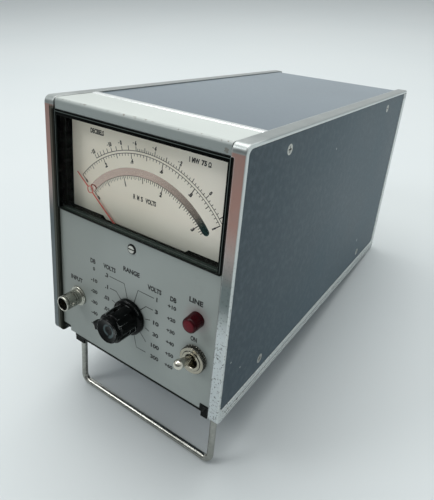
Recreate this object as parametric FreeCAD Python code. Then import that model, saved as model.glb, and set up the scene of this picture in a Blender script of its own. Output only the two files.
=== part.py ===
import FreeCAD, Part
import math
import os

os.makedirs("parts", exist_ok=True)

# The instrument is drawn level, in its own axes, and is tilted as it stands at the very end.
# x runs to the right of the front, y runs back from the front of the frames, z runs up. Millimetres.

# Case
case_width = 130.2
case_height = 154.8
case_depth = 279.4
half_width = case_width / 2
rail_width = 7.4
post_width = 6.5
frame_corner_r = 4.0
frame_edge_r = 0.8
frame_inner = half_width - rail_width
post_inner = half_width - post_width
sheet = 1.5
fit = 0.1

# Openings of the side frames
post_depth = 14.0
rear_post_y = case_depth - 17.4
low_rail_top = 22.0
top_rail_low = case_height - 15.3
window_corner_r = 6.0
rebate = 1.8
rim = 2.2
low_rim = 8.6
cover_rear_y = case_depth - 8.8
groove_z = 3.4
groove_height = 1.2
groove_depth = 0.8

# Front parts
panel_front = 2.5
panel_thick = 2.0
panel_back = panel_front + panel_thick
panel_low = 3.2
panel_top = 89.0
panel_half = post_inner - 0.2
notch_width = 6.6
notch_height = 3.9
notch_r = 0.9
trim_low = case_height - 6.5
trim_top = case_height - 0.3
trim_front = 0.9
trim_gap = 0.5
trim_depth = 27.5
trim_wall = 3.2
trim_edge_r = 2.2
ridge_front = 28.0
ridge_rear = 32.7
cover_front_y = 33.3

# Rear parts
rear_panel_front = case_depth - 12.3
rear_panel_back = rear_panel_front + panel_thick
ledge_width = 2.5
cover_top_z = case_height - 0.9
cover_seat_z = cover_top_z - sheet
bottom_seat_z = 2.4
bottom_front = 20.0
flange_height = 9.0
ledge_back = rear_panel_front - 1.1
bar_back = 38.0

# Places of the controls on the front panel
input_x = 14.9 - panel_half
input_z = 33.5
range_z = 39.0
lamp_x = panel_half - 12.6
lamp_z = 58.4
toggle_x = panel_half - 12.2
toggle_z = 34.2
zero_z = 81.9

# Meter
pivot_z = 70.6
dial_y = 11.4
bezel_front = 0.6
bezel_back = 6.7
bezel_low = 89.2
bezel_top = trim_low - 0.2
opening_half = post_inner - 2.6
opening_low = 89.9
opening_top = bezel_top - 2.9
zero_angle = 141.0

# Tilt bail and the rounded rear ends of the frames, on which the instrument stands
bail_r = 2.0
bail_pivot_y = 10.6
bail_pivot_z = -4.5
bail_bar_z = -40.3
bail_left_x = 10.1 - post_inner
bail_right_x = post_inner - 1.3
pin_clearance = 0.05


def box(x0, x1, y0, y1, z0, z1):
    size = (x1 - x0, y1 - y0, z1 - z0)
    return Part.makeBox(size[0], size[1], size[2], FreeCAD.Vector(x0, y0, z0))


def both(shape):
    return [shape, mirrored(shape)]


def mirrored(shape):
    return shape.mirror(FreeCAD.Vector(0, 0, 0), FreeCAD.Vector(1, 0, 0))


def rod_x(x0, x1, y, z, r):
    return Part.makeCylinder(r, x1 - x0, FreeCAD.Vector(x0, y, z), FreeCAD.Vector(1, 0, 0))


def rod_y(x, z, y0, y1, r):
    return Part.makeCylinder(r, y1 - y0, FreeCAD.Vector(x, y0, z), FreeCAD.Vector(0, 1, 0))


def rod_z(x, y, z0, z1, r):
    return Part.makeCylinder(r, z1 - z0, FreeCAD.Vector(x, y, z0), FreeCAD.Vector(0, 0, 1))


def tube_y(x, z, y0, y1, r_out, r_in):
    return rod_y(x, z, y0, y1, r_out).cut(rod_y(x, z, y0 - 1, y1 + 1, r_in))


def polygon(points):
    corners = [FreeCAD.Vector(*p) for p in points]
    return Part.Face(Part.makePolygon(corners + [corners[0]]))


def prism_x(points, x0, x1):
    face = polygon([(x0, y, z) for y, z in points])
    return face.extrude(FreeCAD.Vector(x1 - x0, 0, 0))


def prism_y(points, y0, y1):
    face = polygon([(x, y0, z) for x, z in points])
    return face.extrude(FreeCAD.Vector(0, y1 - y0, 0))


def prism_z(points, z0, z1):
    face = polygon([(x, y, z0) for x, y in points])
    return face.extrude(FreeCAD.Vector(0, 0, z1 - z0))


def turned(x, z, points):
    # points are (y, radius) round the outline of half the section
    face = polygon([(x + r, y, z) for y, r in points])
    return face.revolve(FreeCAD.Vector(x, 0, z), FreeCAD.Vector(0, 1, 0), 360)


def hexagon(x, z, across, y0, y1):
    r = across / 2 / math.cos(math.radians(30))
    angles = [math.radians(60 * k) for k in range(6)]
    return prism_y([(x + r * math.cos(a), z + r * math.sin(a)) for a in angles], y0, y1)


def edges_along(shape, axis):
    chosen = []
    for edge in shape.Edges:
        if isinstance(edge.Curve, Part.Line) and abs(edge.tangentAt(edge.FirstParameter).dot(axis)) > 0.999:
            chosen.append(edge)
    return chosen


def plate_x(x0, x1, y0, y1, z0, z1, r):
    block = box(x0, x1, y0, y1, z0, z1)
    return block.makeFillet(r, edges_along(block, FreeCAD.Vector(1, 0, 0)))


def plate_y(x0, x1, y0, y1, z0, z1, r):
    block = box(x0, x1, y0, y1, z0, z1)
    return block.makeFillet(r, edges_along(block, FreeCAD.Vector(0, 1, 0)))


def joined(shapes):
    whole = shapes[0]
    if len(shapes) > 1:
        whole = shapes[0].multiFuse(shapes[1:])
    return whole.removeSplitter()


def turned_about_y(shape, x, z, degrees):
    copy = shape.copy()
    copy.rotate(FreeCAD.Vector(x, 0, z), FreeCAD.Vector(0, 1, 0), degrees)
    return copy


pieces = {}

# Side frames: two castings with an opening each, the ribs of the whole case
screw_ys = (44.0, case_depth - 56.9)
screw_zs = (16.5, case_height - 10.0)
side_screw_r = 1.45
rear_screw_x = frame_inner - 2.7
rear_screw_zs = (20.0, case_height - 20.8)
deck_screw_ys = (80.0, case_depth - 89.4)
deck_low = 10.5
deck_top = deck_low + sheet
deck_flange_top = 20.0
deck_screw_z = 16.0
deck_hole_depth = 4.5
rear_ledge = 5.5
post_ledge = 3.2
post_ledge_low = 8.0
post_ledge_top = 83.5
post_chamfer = 0.8


def side_frame():
    frame = plate_x(frame_inner, half_width, 0, case_depth, 0, case_height, frame_corner_r)
    outer = [e for e in frame.Edges if e.BoundBox.XMin > half_width - 0.01]
    frame = frame.makeFillet(frame_edge_r, outer)
    ledges = [
        box(post_inner - post_ledge, frame_inner, panel_back, post_depth, post_ledge_low, post_ledge_top),
        box(frame_inner - ledge_width, frame_inner, bar_back + 0.2, ledge_back, cover_seat_z - ledge_width,
            cover_seat_z),
        box(frame_inner - ledge_width, frame_inner, bottom_front, ledge_back, bottom_seat_z,
            bottom_seat_z + ledge_width),
        box(frame_inner - rear_ledge, frame_inner, rear_post_y, rear_panel_front, deck_top,
            top_rail_low + 6.5),
    ]
    frame = joined([frame] + ledges)
    window = plate_x(frame_inner - 1, half_width + 1, post_depth, rear_post_y, low_rail_top,
                     top_rail_low, window_corner_r)
    seat = plate_x(half_width - rebate, half_width + 1, rim, cover_rear_y + 0.4, low_rim,
                   case_height - rim, 3.0)
    slot = box(frame_inner - 0.5, post_inner, -1, panel_back, -1, trim_low - 0.1)
    slot = slot.fuse(box(frame_inner - 0.5, post_inner, panel_back, post_depth, post_ledge_top,
                         trim_low - 0.1))
    slot = slot.fuse(box(frame_inner - 0.5, post_inner, panel_back, post_depth, -1, post_ledge_low))
    slot = slot.fuse(prism_z([(post_inner - 0.2, -0.2), (post_inner + post_chamfer + 0.2, -0.2),
                              (post_inner - 0.2, post_chamfer + 0.2)], -1, trim_low - 0.1))
    groove = box(half_width - groove_depth, half_width + 1, 7, case_depth - 7, groove_z,
                 groove_z + groove_height)
    frame = frame.cut(window.fuse(seat)).cut(slot).cut(groove)
    for y in screw_ys:
        for z in screw_zs:
            frame = frame.cut(rod_x(frame_inner - 1, half_width, y, z, side_screw_r + pin_clearance))
    for y in deck_screw_ys:
        frame = frame.cut(rod_x(frame_inner - 1, frame_inner + deck_hole_depth, y, deck_screw_z,
                                side_screw_r + pin_clearance))
    for z in rear_screw_zs:
        frame = frame.cut(rod_y(rear_screw_x, z, rear_panel_front - 12, rear_panel_front + 1,
                                side_screw_r + pin_clearance))
    return frame


frame_right = side_frame()
pieces["side_frame_right"] = [frame_right]
pieces["side_frame_left"] = [mirrored(frame_right)]

# Side covers: flat plates let into the frames, each held by four countersunk screws
cover_inner = half_width - rebate
cover_outer = cover_inner + sheet
head_r = 2.9
head_depth = 1.45


def sunk_head(extra):
    cone = Part.makeCone(side_screw_r, head_r, head_depth, FreeCAD.Vector(0, 0, 0), FreeCAD.Vector(1, 0, 0))
    return cone.fuse(rod_x(-extra, 0, 0, 0, side_screw_r))


side_cover = plate_x(cover_inner, cover_outer, rim + 0.3, cover_rear_y, low_rim + 0.3,
                     case_height - rim - 0.3, 2.7)
recess_half = 1.9
recess_slot = 0.3
recess_floor = head_depth - 0.8


def countersunk_screw():
    screw = sunk_head(4.5)
    screw = screw.cut(box(recess_floor, 3, -recess_half, recess_half, -recess_slot, recess_slot))
    return screw.cut(box(recess_floor, 3, -recess_slot, recess_slot, -recess_half, recess_half))


side_screws = []
for y in screw_ys:
    for z in screw_zs:
        screw = countersunk_screw()
        screw.translate(FreeCAD.Vector(cover_outer - head_depth, y, z))
        hole = sunk_head(3)
        hole.translate(FreeCAD.Vector(cover_outer - head_depth, y, z))
        side_cover = side_cover.cut(hole)
        side_screws.append(screw)
pieces["side_cover_right"] = [side_cover]
pieces["side_cover_left"] = [mirrored(side_cover)]
countersunk_screws = side_screws + [mirrored(s) for s in side_screws]

# Top crossbar: an extrusion between the frames, with a ridge and a ledge for the top cover
bar_low = trim_low
bar_seat = trim_top - 2.6
bar_points = [
    (trim_wall, bar_low), (bar_back, bar_low), (bar_back, cover_seat_z), (ridge_rear, cover_seat_z),
    (ridge_rear, trim_top + 0.2), (ridge_front, trim_top + 0.2), (ridge_front, bar_seat),
    (trim_wall, bar_seat),
]
crossbar = prism_x(bar_points, -frame_inner, frame_inner)
ridge_edges = [e for e in edges_along(crossbar, FreeCAD.Vector(1, 0, 0)) if e.BoundBox.ZMin > trim_top]
crossbar = crossbar.makeFillet(0.7, ridge_edges)
hollow = prism_x([(6, bar_low + 1.2), (20, bar_low + 1.2), (20, bar_seat - 1.2), (6, bar_seat - 1.2)],
                 -frame_inner - 1, frame_inner + 1)
pieces["top_crossbar"] = [crossbar.cut(hollow)]

# Top trim: the pale strip that covers the front of the crossbar
trim_points = [
    (trim_front, trim_low), (trim_wall, trim_low), (trim_wall, bar_seat), (trim_depth, bar_seat),
    (trim_depth, trim_top), (trim_front, trim_top),
]
trim = prism_x(trim_points, trim_gap - frame_inner, frame_inner - trim_gap)
front_edge = [e for e in edges_along(trim, FreeCAD.Vector(1, 0, 0))
              if e.BoundBox.ZMin > trim_top - 0.01 and e.BoundBox.YMax < trim_front + 0.01]
pieces["top_trim"] = [trim.makeFillet(trim_edge_r, front_edge)]

# Top and bottom covers: sheets with a flange at the rear, held by two screws each
cover_half = frame_inner - 0.3
cover_screw_x = frame_inner - 17.7
top_screw_z = cover_seat_z - 4.5
bottom_screw_z = bottom_seat_z + 4.5
top_cover = joined([
    box(-cover_half, cover_half, cover_front_y, cover_rear_y, cover_seat_z, cover_top_z),
    box(-cover_half, cover_half, rear_panel_back, cover_rear_y, cover_seat_z - flange_height, cover_seat_z),
])
bottom_cover = joined([
    box(-cover_half, cover_half, bottom_front, cover_rear_y, bottom_seat_z - sheet, bottom_seat_z),
    box(-cover_half, cover_half, rear_panel_back, cover_rear_y, bottom_seat_z, bottom_seat_z + flange_height),
])
small_screw_r = 1.45
pan_screw_length = 8.0


def pan_screw_y(x, z, seat_y):
    # head stands behind seat_y, shank runs forward
    head = turned(x, z, [(seat_y, 0), (seat_y, 2.7), (seat_y + 1.0, 2.5), (seat_y + 1.7, 1.6),
                         (seat_y + 1.8, 0)])
    slot_a = box(x - 1.5, x + 1.5, seat_y + 0.9, seat_y + 3, z - 0.3, z + 0.3)
    slot_b = box(x - 0.3, x + 0.3, seat_y + 0.9, seat_y + 3, z - 1.5, z + 1.5)
    shank = rod_y(x, z, seat_y - pan_screw_length, seat_y, small_screw_r)
    return head.fuse(shank).cut(slot_a).cut(slot_b)


def rear_hole(x, z, r):
    return rod_y(x, z, rear_panel_front - 1, cover_rear_y + 1, r)


rear_screws = []
for x in (-cover_screw_x, cover_screw_x):
    top_cover = top_cover.cut(rear_hole(x, top_screw_z, small_screw_r + pin_clearance))
    bottom_cover = bottom_cover.cut(rear_hole(x, bottom_screw_z, small_screw_r + pin_clearance))
    rear_screws.append(pan_screw_y(x, top_screw_z, cover_rear_y))
    rear_screws.append(pan_screw_y(x, bottom_screw_z, cover_rear_y))
pieces["top_cover"] = [top_cover]
pieces["bottom_cover"] = [bottom_cover]

# Front panel: aluminium sheet with two lower corners cut away for the hooks of the bail bracket
input_hole_r = 4.8
range_hole_r = 4.8
lamp_hole_r = 4.0
toggle_hole_r = 6.0
zero_hole_r = 3.0
panel = box(-panel_half, panel_half, panel_front, panel_back, panel_low, panel_top)
notch = plate_y(panel_half - notch_width, panel_half + 4, 0, 9, -4, panel_low + notch_height, notch_r)
panel = panel.cut(notch).cut(mirrored(notch))
for x, z, r in (
    (input_x, input_z, input_hole_r),
    (0, range_z, range_hole_r),
    (lamp_x, lamp_z, lamp_hole_r),
    (toggle_x, toggle_z, toggle_hole_r),
    (0, zero_z, zero_hole_r),
):
    panel = panel.cut(rod_y(x, z, 0, 9, r))
pieces["front_panel"] = [panel]

# Rear panel, with its inlet, fuse, voltage selector and output sockets
inlet_x = 29.7 - frame_inner
inlet_z = 44.0
inlet_half_w = 13.7
inlet_half_h = 10.2
inlet_screw_dx = 20.0
fuse_x = inlet_x
fuse_z = 84.0
fuse_hole_r = 6.3
selector_x = inlet_x
selector_z = 112.0
selector_half_w = 6.0
selector_half_h = 2.6
selector_throw = 5.0
socket_xs = (frame_inner - 39.7, frame_inner - 20.7)
socket_z = 100.0
socket_hole_r = 4.0
rear_panel = box(-frame_inner + fit, frame_inner - fit, rear_panel_front, rear_panel_back,
                 bottom_seat_z + fit, cover_seat_z)
for x in (-rear_screw_x, rear_screw_x):
    for z in rear_screw_zs:
        rear_panel = rear_panel.cut(rear_hole(x, z, small_screw_r + pin_clearance))
for x in (-cover_screw_x, cover_screw_x):
    for z in (top_screw_z, bottom_screw_z):
        rear_panel = rear_panel.cut(rear_hole(x, z, small_screw_r + pin_clearance))
for x, z, half_w, half_h in (
    (inlet_x, inlet_z, inlet_half_w, inlet_half_h),
    (selector_x, selector_z, selector_half_w, selector_half_h),
):
    rear_panel = rear_panel.cut(box(x - half_w, x + half_w, rear_panel_front - 1, rear_panel_back + 1,
                                    z - half_h, z + half_h))
rear_panel = rear_panel.cut(rear_hole(fuse_x, fuse_z, fuse_hole_r))
for x in socket_xs:
    rear_panel = rear_panel.cut(rear_hole(x, socket_z, socket_hole_r))
for dx in (-inlet_screw_dx, inlet_screw_dx):
    rear_panel = rear_panel.cut(rear_hole(inlet_x + dx, inlet_z, small_screw_r + pin_clearance))
pieces["rear_panel"] = [rear_panel]
rear_screws += [pan_screw_y(x, z, rear_panel_back)
                for x in (-rear_screw_x, rear_screw_x) for z in rear_screw_zs]

# Chassis deck: a sheet with upturned flanges, screwed to the lower rails
deck_front = 30.0
deck_back = case_depth - 21.4
deck = joined([
    box(-frame_inner, frame_inner, deck_front, deck_back, deck_low, deck_top),
    box(-frame_inner, -frame_inner + sheet, deck_front, deck_back, deck_top, deck_flange_top),
    box(frame_inner - sheet, frame_inner, deck_front, deck_back, deck_top, deck_flange_top),
])
for y in deck_screw_ys:
    screw = mirrored(countersunk_screw())
    screw.translate(FreeCAD.Vector(frame_inner - sheet + head_depth, y, deck_screw_z))
    hole = mirrored(sunk_head(3))
    hole.translate(FreeCAD.Vector(frame_inner - sheet + head_depth, y, deck_screw_z))
    deck = deck.cut(hole).cut(mirrored(hole))
    countersunk_screws += both(screw)
pieces["chassis_deck"] = [deck]
pieces["countersunk_screws"] = countersunk_screws

# Meter bezel: black frame; its lower bar reaches down behind the edge of the front panel
bezel_half = post_inner - 0.2
tray_low = 85.0
bezel = plate_y(-bezel_half, bezel_half, bezel_front, bezel_back, bezel_low, bezel_top, 1.5)
behind_panel = box(-bezel_half, bezel_half, panel_back, bezel_back, tray_low, bezel_low + 2)
bezel = joined([bezel, behind_panel])
bezel = bezel.cut(box(-opening_half, opening_half, 0, bezel_back + 1, opening_low, opening_top))
pieces["meter_bezel"] = [bezel]

# Meter window: clear sheet let into the opening of the bezel
window_front = 1.6
window_thick = 1.8
pieces["meter_window"] = [box(-opening_half, opening_half, window_front, window_front + window_thick,
                              opening_low, opening_top)]

# Meter case: black moulding, a shallow tray behind the dial and a chamber for the movement
tray_half = post_inner - 0.8
tray_floor = dial_y + 0.8
tray_back = tray_floor + 1.6
tray_top = bezel_top - 0.2
chamber_r = 33.5
chamber_wall = 1.6
chamber_low = 58.6
chamber_front = 5.2
chamber_back = 42.0
tray = box(-tray_half, tray_half, bezel_back, tray_back, tray_low, tray_top)
outer = rod_y(0, pivot_z, chamber_front, chamber_back, chamber_r + chamber_wall)
outer = outer.common(box(-tray_half, tray_half, 0, chamber_back, chamber_low - chamber_wall, tray_top))
outer = outer.cut(box(-tray_half, tray_half, 0, bezel_back, tray_low, tray_top))
case = joined([tray, outer])
case = case.cut(box(-opening_half, opening_half, 0, tray_floor, opening_low - 0.9, opening_top + 1.0))
inner = rod_y(0, pivot_z, chamber_front + 1.0, chamber_back - chamber_wall, chamber_r)
inner = inner.common(box(-tray_half, tray_half, 0, chamber_back, chamber_low, tray_top))
case = case.cut(inner).cut(rod_y(0, zero_z, chamber_front - 1, chamber_front + 2, 1.25))
dip_low = 87.3
dip_half_low = 29.0
dip_half_top = 32.0


def dial_dip(front, gap):
    # the lower edge of the tray dips between its ends, and the dial plate fills the dip
    return prism_y([(gap - dip_half_top, opening_low), (gap - dip_half_low, dip_low + gap),
                    (dip_half_low - gap, dip_low + gap), (dip_half_top - gap, opening_low)],
                   front, tray_floor)


case = case.cut(dial_dip(bezel_back, 0))
pieces["meter_case"] = [case]

# Dial plate: painted aluminium lying on the floor of the tray
dial = box(-opening_half + fit, opening_half - fit, dial_y, tray_floor, opening_low - 0.7, opening_top + 0.8)
pieces["dial_plate"] = [joined([dial, dial_dip(dial_y, 0.1)])]

# Movement: magnet bridging two pole shoes with a bored gap, and the iron core hung in the gap
gap_r = 9.6
core_r = 7.6
shoe_front = 14.0
shoe_back = 30.0
shoe_half = 24.0
shoe_low = pivot_z - 10.0
shoe_top = pivot_z + 10.5
shoe_gap = 3.0
shoe = box(shoe_gap, shoe_half, shoe_front, shoe_back, shoe_low, shoe_top)
shoe = shoe.cut(rod_y(0, pivot_z, 10, 35, gap_r))
magnet_top = shoe_top + 12.5
pieces["meter_magnet"] = [box(-shoe_half, shoe_half, shoe_front, shoe_back, shoe_top, magnet_top)]
core = rod_y(0, pivot_z, 15.5, 28.5, core_r)
hanger = box(-2.2, 2.2, 17, 27, pivot_z + core_r - 0.6, shoe_top)
pieces["meter_irons"] = both(shoe) + [core.fuse(hanger).removeSplitter()]

# Brass parts of the movement: the bracket that ties the magnet to the rear of the case,
# and the two bridges with the jewel screws that carry the moving coil
bracket_half = 12.0
bracket_thick = 1.5
bracket_mid = shoe_top + 6.0
chamber_rear = chamber_back - chamber_wall
magnet_bracket = joined([
    box(-bracket_half, bracket_half, shoe_back, chamber_rear, bracket_mid, bracket_mid + bracket_thick),
    box(-bracket_half, bracket_half, shoe_back, shoe_back + bracket_thick, shoe_top + 2, magnet_top - 0.5),
    box(-bracket_half, bracket_half, chamber_rear - bracket_thick, chamber_rear, shoe_top + 2,
        magnet_top - 0.5),
])
bridge_half = 20.0
bridge_low = pivot_z - 4.5
bridge_top = pivot_z + 4.5
bridge_front = 7.4
bridge_thick = 0.8
jewel_r = 1.45
pivot_r = 0.30
jewel_hole_r = 0.34
finger_r = 5.0
front_bridge = joined([
    box(-bridge_half, bridge_half, bridge_front, bridge_front + bridge_thick, bridge_low, bridge_top),
    box(-bridge_half, -bridge_half + 4, bridge_front + bridge_thick, shoe_front, bridge_low, bridge_top),
    box(bridge_half - 4, bridge_half, bridge_front + bridge_thick, shoe_front, bridge_low, bridge_top),
])
front_bridge = front_bridge.cut(box(finger_r - 1.2, finger_r + 1.4, 7, 9, pivot_z - 2.2, pivot_z + 2.2))
rear_bridge = joined([
    box(-bridge_half, bridge_half, 34.4, 35.6, bridge_low, bridge_top),
    box(-bridge_half, -bridge_half + 4, shoe_back, 34.4, bridge_low, bridge_top),
    box(bridge_half - 4, bridge_half, shoe_back, 34.4, bridge_low, bridge_top),
])
front_bridge = front_bridge.cut(rod_y(0, pivot_z, 5, 10, jewel_r))
rear_bridge = rear_bridge.cut(rod_y(0, pivot_z, 33, 37, jewel_r))
front_jewel = rod_y(0, pivot_z, 6.35, 8.4, jewel_r).cut(rod_y(0, pivot_z, 7.6, 9, jewel_hole_r))
rear_jewel = rod_y(0, pivot_z, 33.6, 36.4, jewel_r).cut(rod_y(0, pivot_z, 33, 34.6, jewel_hole_r))
pieces["meter_bridges"] = [magnet_bracket, front_bridge, rear_bridge, front_jewel, rear_jewel]

# Moving coil: copper loop round the core, drawn lying flat and then turned to where the pointer rests.
# A short steel staff stands on each end of it, and a hairspring is wound on each staff
coil_out = 9.1
coil_in = 8.1
coil_half_height = 1.6
coil_front = 13.4
coil_back = 30.6
end_bar = 1.0
coil = box(-coil_out, coil_out, coil_front, coil_back, pivot_z - coil_half_height, pivot_z + coil_half_height)
coil = coil.cut(box(-coil_in, coil_in, coil_front + end_bar, coil_back - end_bar, pivot_z - 3, pivot_z + 3))
rest_turn = 90 - zero_angle
pieces["moving_coil"] = [turned_about_y(coil, 0, pivot_z, rest_turn)]
staff_r = 0.8
front_staff = joined([rod_y(0, pivot_z, 8.7, coil_front, staff_r), rod_y(0, pivot_z, 7.8, 8.7, pivot_r)])
rear_staff = joined([rod_y(0, pivot_z, coil_back, 33.3, staff_r), rod_y(0, pivot_z, 33.3, 34.4, pivot_r)])

# Pointer: hub, slender arm with an open ring over the mirror band, and a tail that balances it
pointer_front = 9.8
pointer_thick = 0.4
pointer_tip = opening_half + 9.2
ring_centre = pointer_tip - 13.4
ring_out = 2.3
ring_in = 1.9
hub = tube_y(0, pivot_z, pointer_front, pointer_front + 0.9, 2.0, staff_r)
arm_back = pointer_front + pointer_thick
arm = prism_y([(-0.55, pivot_z + 1.2), (0.55, pivot_z + 1.2), (0.25, pivot_z + pointer_tip),
               (-0.25, pivot_z + pointer_tip)], pointer_front, arm_back)
loop = tube_y(0, pivot_z + ring_centre, pointer_front, arm_back, ring_out, ring_in)
inside = rod_y(0, pivot_z + ring_centre, pointer_front - 1, arm_back + 1, ring_out - 0.1)
tail = prism_y([(-0.7, pivot_z - 9), (0.7, pivot_z - 9), (0.5, pivot_z - 1.2), (-0.5, pivot_z - 1.2)],
               pointer_front, arm_back)
weight = rod_y(0, pivot_z - 8, pointer_front, pointer_front + 1.2, 1.9)
pointer = joined([hub, arm.cut(inside), loop, tail, weight])
pieces["pointer"] = [turned_about_y(pointer, 0, pivot_z, rest_turn)]


def spiral(y0):
    # flat ribbon wound from the staff outwards
    turns = 3.0
    steps = 72
    start_r = staff_r
    end_r = 4.0
    thickness = 0.22
    outer_side = []
    inner_side = []
    for k in range(steps + 1):
        angle = 2 * math.pi * turns * k / steps
        r = start_r + (end_r - start_r) * k / steps
        outer_r = r + thickness
        outer_side.append(FreeCAD.Vector(outer_r * math.cos(angle), y0, outer_r * math.sin(angle)))
        inner_side.append(FreeCAD.Vector(r * math.cos(angle), y0, r * math.sin(angle)))
    out_curve = Part.BSplineCurve()
    out_curve.interpolate(outer_side)
    in_curve = Part.BSplineCurve()
    in_curve.interpolate(inner_side)
    outline = Part.Wire([
        out_curve.toShape(), Part.makeLine(outer_side[-1], inner_side[-1]),
        in_curve.toShape(), Part.makeLine(inner_side[0], outer_side[0]),
    ])
    ribbon = Part.Face(outline).extrude(FreeCAD.Vector(0, spring_width, 0))
    ribbon.translate(FreeCAD.Vector(0, 0, pivot_z))
    return ribbon


spring_width = 0.5
front_spring_y = 11.6
rear_spring_y = 31.6
pieces["coil_staffs"] = [front_staff, rear_staff, spiral(front_spring_y), spiral(rear_spring_y)]

# Zero adjuster: a slotted screw in the panel whose offset pin swings a forked arm
pin_offset = 1.0
pin_r = 0.6
fork_clearance = 0.15
arm_front = 6.6
arm_rear = 7.2
screw_head_r = 2.5
zero_screw = joined([
    rod_y(0, zero_z, 1.8, 5.0, screw_head_r),
    rod_y(0, zero_z, 5.0, 6.35, 1.2),
    rod_y(0, zero_z + pin_offset, 6.3, arm_rear, pin_r),
])
zero_screw = zero_screw.cut(box(-3, 3, 1, 2.7, zero_z - 0.4, zero_z + 0.4))
pieces["zero_screw"] = [zero_screw]
fork_half = pin_r + fork_clearance
zero_arm = joined([
    rod_y(0, pivot_z, arm_front, arm_rear, 3.2),
    box(-2.0, 2.0, arm_front, arm_rear, pivot_z + 2, zero_z + 2.7),
    box(2, finger_r + 0.5, arm_front, arm_rear, pivot_z - 0.8, pivot_z + 0.8),
    box(finger_r - 0.5, finger_r + 0.5, arm_rear, front_spring_y + spring_width, pivot_z - 0.8,
        pivot_z + 0.8),
])
zero_arm = zero_arm.cut(rod_y(0, pivot_z, 5, 8, jewel_r + pin_clearance))
zero_arm = zero_arm.cut(box(-fork_half, fork_half, 5, 8, zero_z - 0.2, zero_z + 4))
pieces["zero_arm"] = [zero_arm]

# Input connector: nickel shell with bayonet lugs, insulator, centre contact and the nut behind the panel
shell_front = -10.0
flange_r = 6.4
mouth_r = 4.8
bore_r = 4.05
barrel_back = 15.0
shell = turned(input_x, input_z, [
    (shell_front, bore_r), (shell_front, mouth_r - 0.2), (shell_front + 0.4, mouth_r), (0.9, mouth_r),
    (1.3, 5.6), (1.3, flange_r - 0.3), (1.6, flange_r), (panel_front, flange_r), (panel_front, 4.7),
    (barrel_back, 4.7), (barrel_back, 3.6), (-0.5, 3.6), (-0.5, bore_r),
])
lugs = rod_x(input_x - 5.7, input_x - mouth_r + 0.4, shell_front + 4.2, input_z, 0.95)
lugs = lugs.fuse(rod_x(input_x + mouth_r - 0.4, input_x + 5.7, shell_front + 4.2, input_z, 0.95))
pieces["input_shell"] = [shell.fuse(lugs).removeSplitter()]
insulator = turned(input_x, input_z, [
    (shell_front + 5.4, 1.1), (shell_front + 5.4, 2.3), (-0.5, 2.3), (-0.5, 3.6), (barrel_back, 3.6),
    (barrel_back, 1.1),
])
pieces["input_insulator"] = [insulator]
contact = rod_y(input_x, input_z, shell_front + 5.0, barrel_back + 4, 1.1)
pieces["input_contact"] = [contact.cut(rod_y(input_x, input_z, shell_front + 4, shell_front + 10, 0.55))]
nut_across = 12.7
nut_thick = 2.1
thread_r = 4.7


def panel_nut(x, z, y):
    return hexagon(x, z, nut_across, y, y + nut_thick).cut(rod_y(x, z, -5, 20, thread_r))


input_nut = panel_nut(input_x, input_z, panel_back)

# Range switch: bushing with its end plate and detent leaf, three wafers on two shouldered rods,
# and a shaft with a notched index wheel riveted on it
shaft_r = 3.175
plate_y0 = 8.0
plate_y1 = 9.5
wafer_r = 17.0
wafer_thick = 1.6
rotor_r = 8.0
rod_x_place = 15.0
rod_r = 1.45
wafer_ys = (22.0, 42.0, 62.0)
bushing = joined([
    rod_y(0, range_z, 0.3, plate_y0, thread_r),
    rod_y(0, range_z, panel_back, plate_y0, 7.0),
    box(-wafer_r, wafer_r, plate_y0, plate_y1, range_z - 12, range_z + 12),
])
bushing = bushing.cut(rod_y(0, range_z, -1, 12, shaft_r + pin_clearance))
for x in (-rod_x_place, rod_x_place):
    bushing = bushing.cut(rod_y(x, range_z, 7, 12, rod_r))
pieces["panel_nuts"] = [input_nut, panel_nut(0, range_z, panel_front - nut_thick)]
wafers = []
rotors = []
rods = {x: [rod_y(x, range_z, plate_y0, wafer_ys[-1] + 4, rod_r)] for x in (-rod_x_place, rod_x_place)}
previous = plate_y1
for y in wafer_ys:
    wafer = rod_y(0, range_z, y, y + wafer_thick, wafer_r).cut(rod_y(0, range_z, y - 1, y + 3, rotor_r + 0.3))
    for x in (-rod_x_place, rod_x_place):
        wafer = wafer.cut(rod_y(x, range_z, y - 1, y + 3, rod_r))
        rods[x].append(rod_y(x, range_z, previous, y, 2.6))
    wafers.append(wafer)
    rotors.append(tube_y(0, range_z, y, y + wafer_thick, rotor_r, shaft_r))
    previous = y + wafer_thick
pieces["switch_wafers"] = wafers
pieces["switch_rotors"] = rotors
pieces["switch_rods"] = [joined(parts + [hexagon(x, range_z, 5.0, previous, previous + 2.2)])
                         for x, parts in rods.items()]
wheel_r = 8.5
wheel = tube_y(0, range_z, 10.2, 12.2, wheel_r, shaft_r)
for k in range(12):
    angle = math.radians(30 * k + 15)
    wheel = wheel.cut(rod_y((wheel_r + 0.4) * math.cos(angle), range_z + (wheel_r + 0.4) * math.sin(angle),
                            10, 13, 1.3))
ball_r = 1.2
leaf_low = range_z - wheel_r - 0.3 - 2 * ball_r
ball_z = range_z - wheel_r - 0.3 - ball_r
detent_spring = joined([
    box(-11, -8.5, plate_y1, 12.2, leaf_low - 0.4, leaf_low + 0.6),
    box(-11, 2, 10.2, 12.2, leaf_low - 0.4, leaf_low),
    Part.makeSphere(ball_r, FreeCAD.Vector(0, 11.2, ball_z)),
])
pieces["switch_frame"] = [bushing, detent_spring]
shaft_front = -10.5
shaft_back = 70.0
pieces["range_shaft"] = [joined([rod_y(0, range_z, shaft_front, shaft_back, shaft_r), wheel])]

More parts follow.
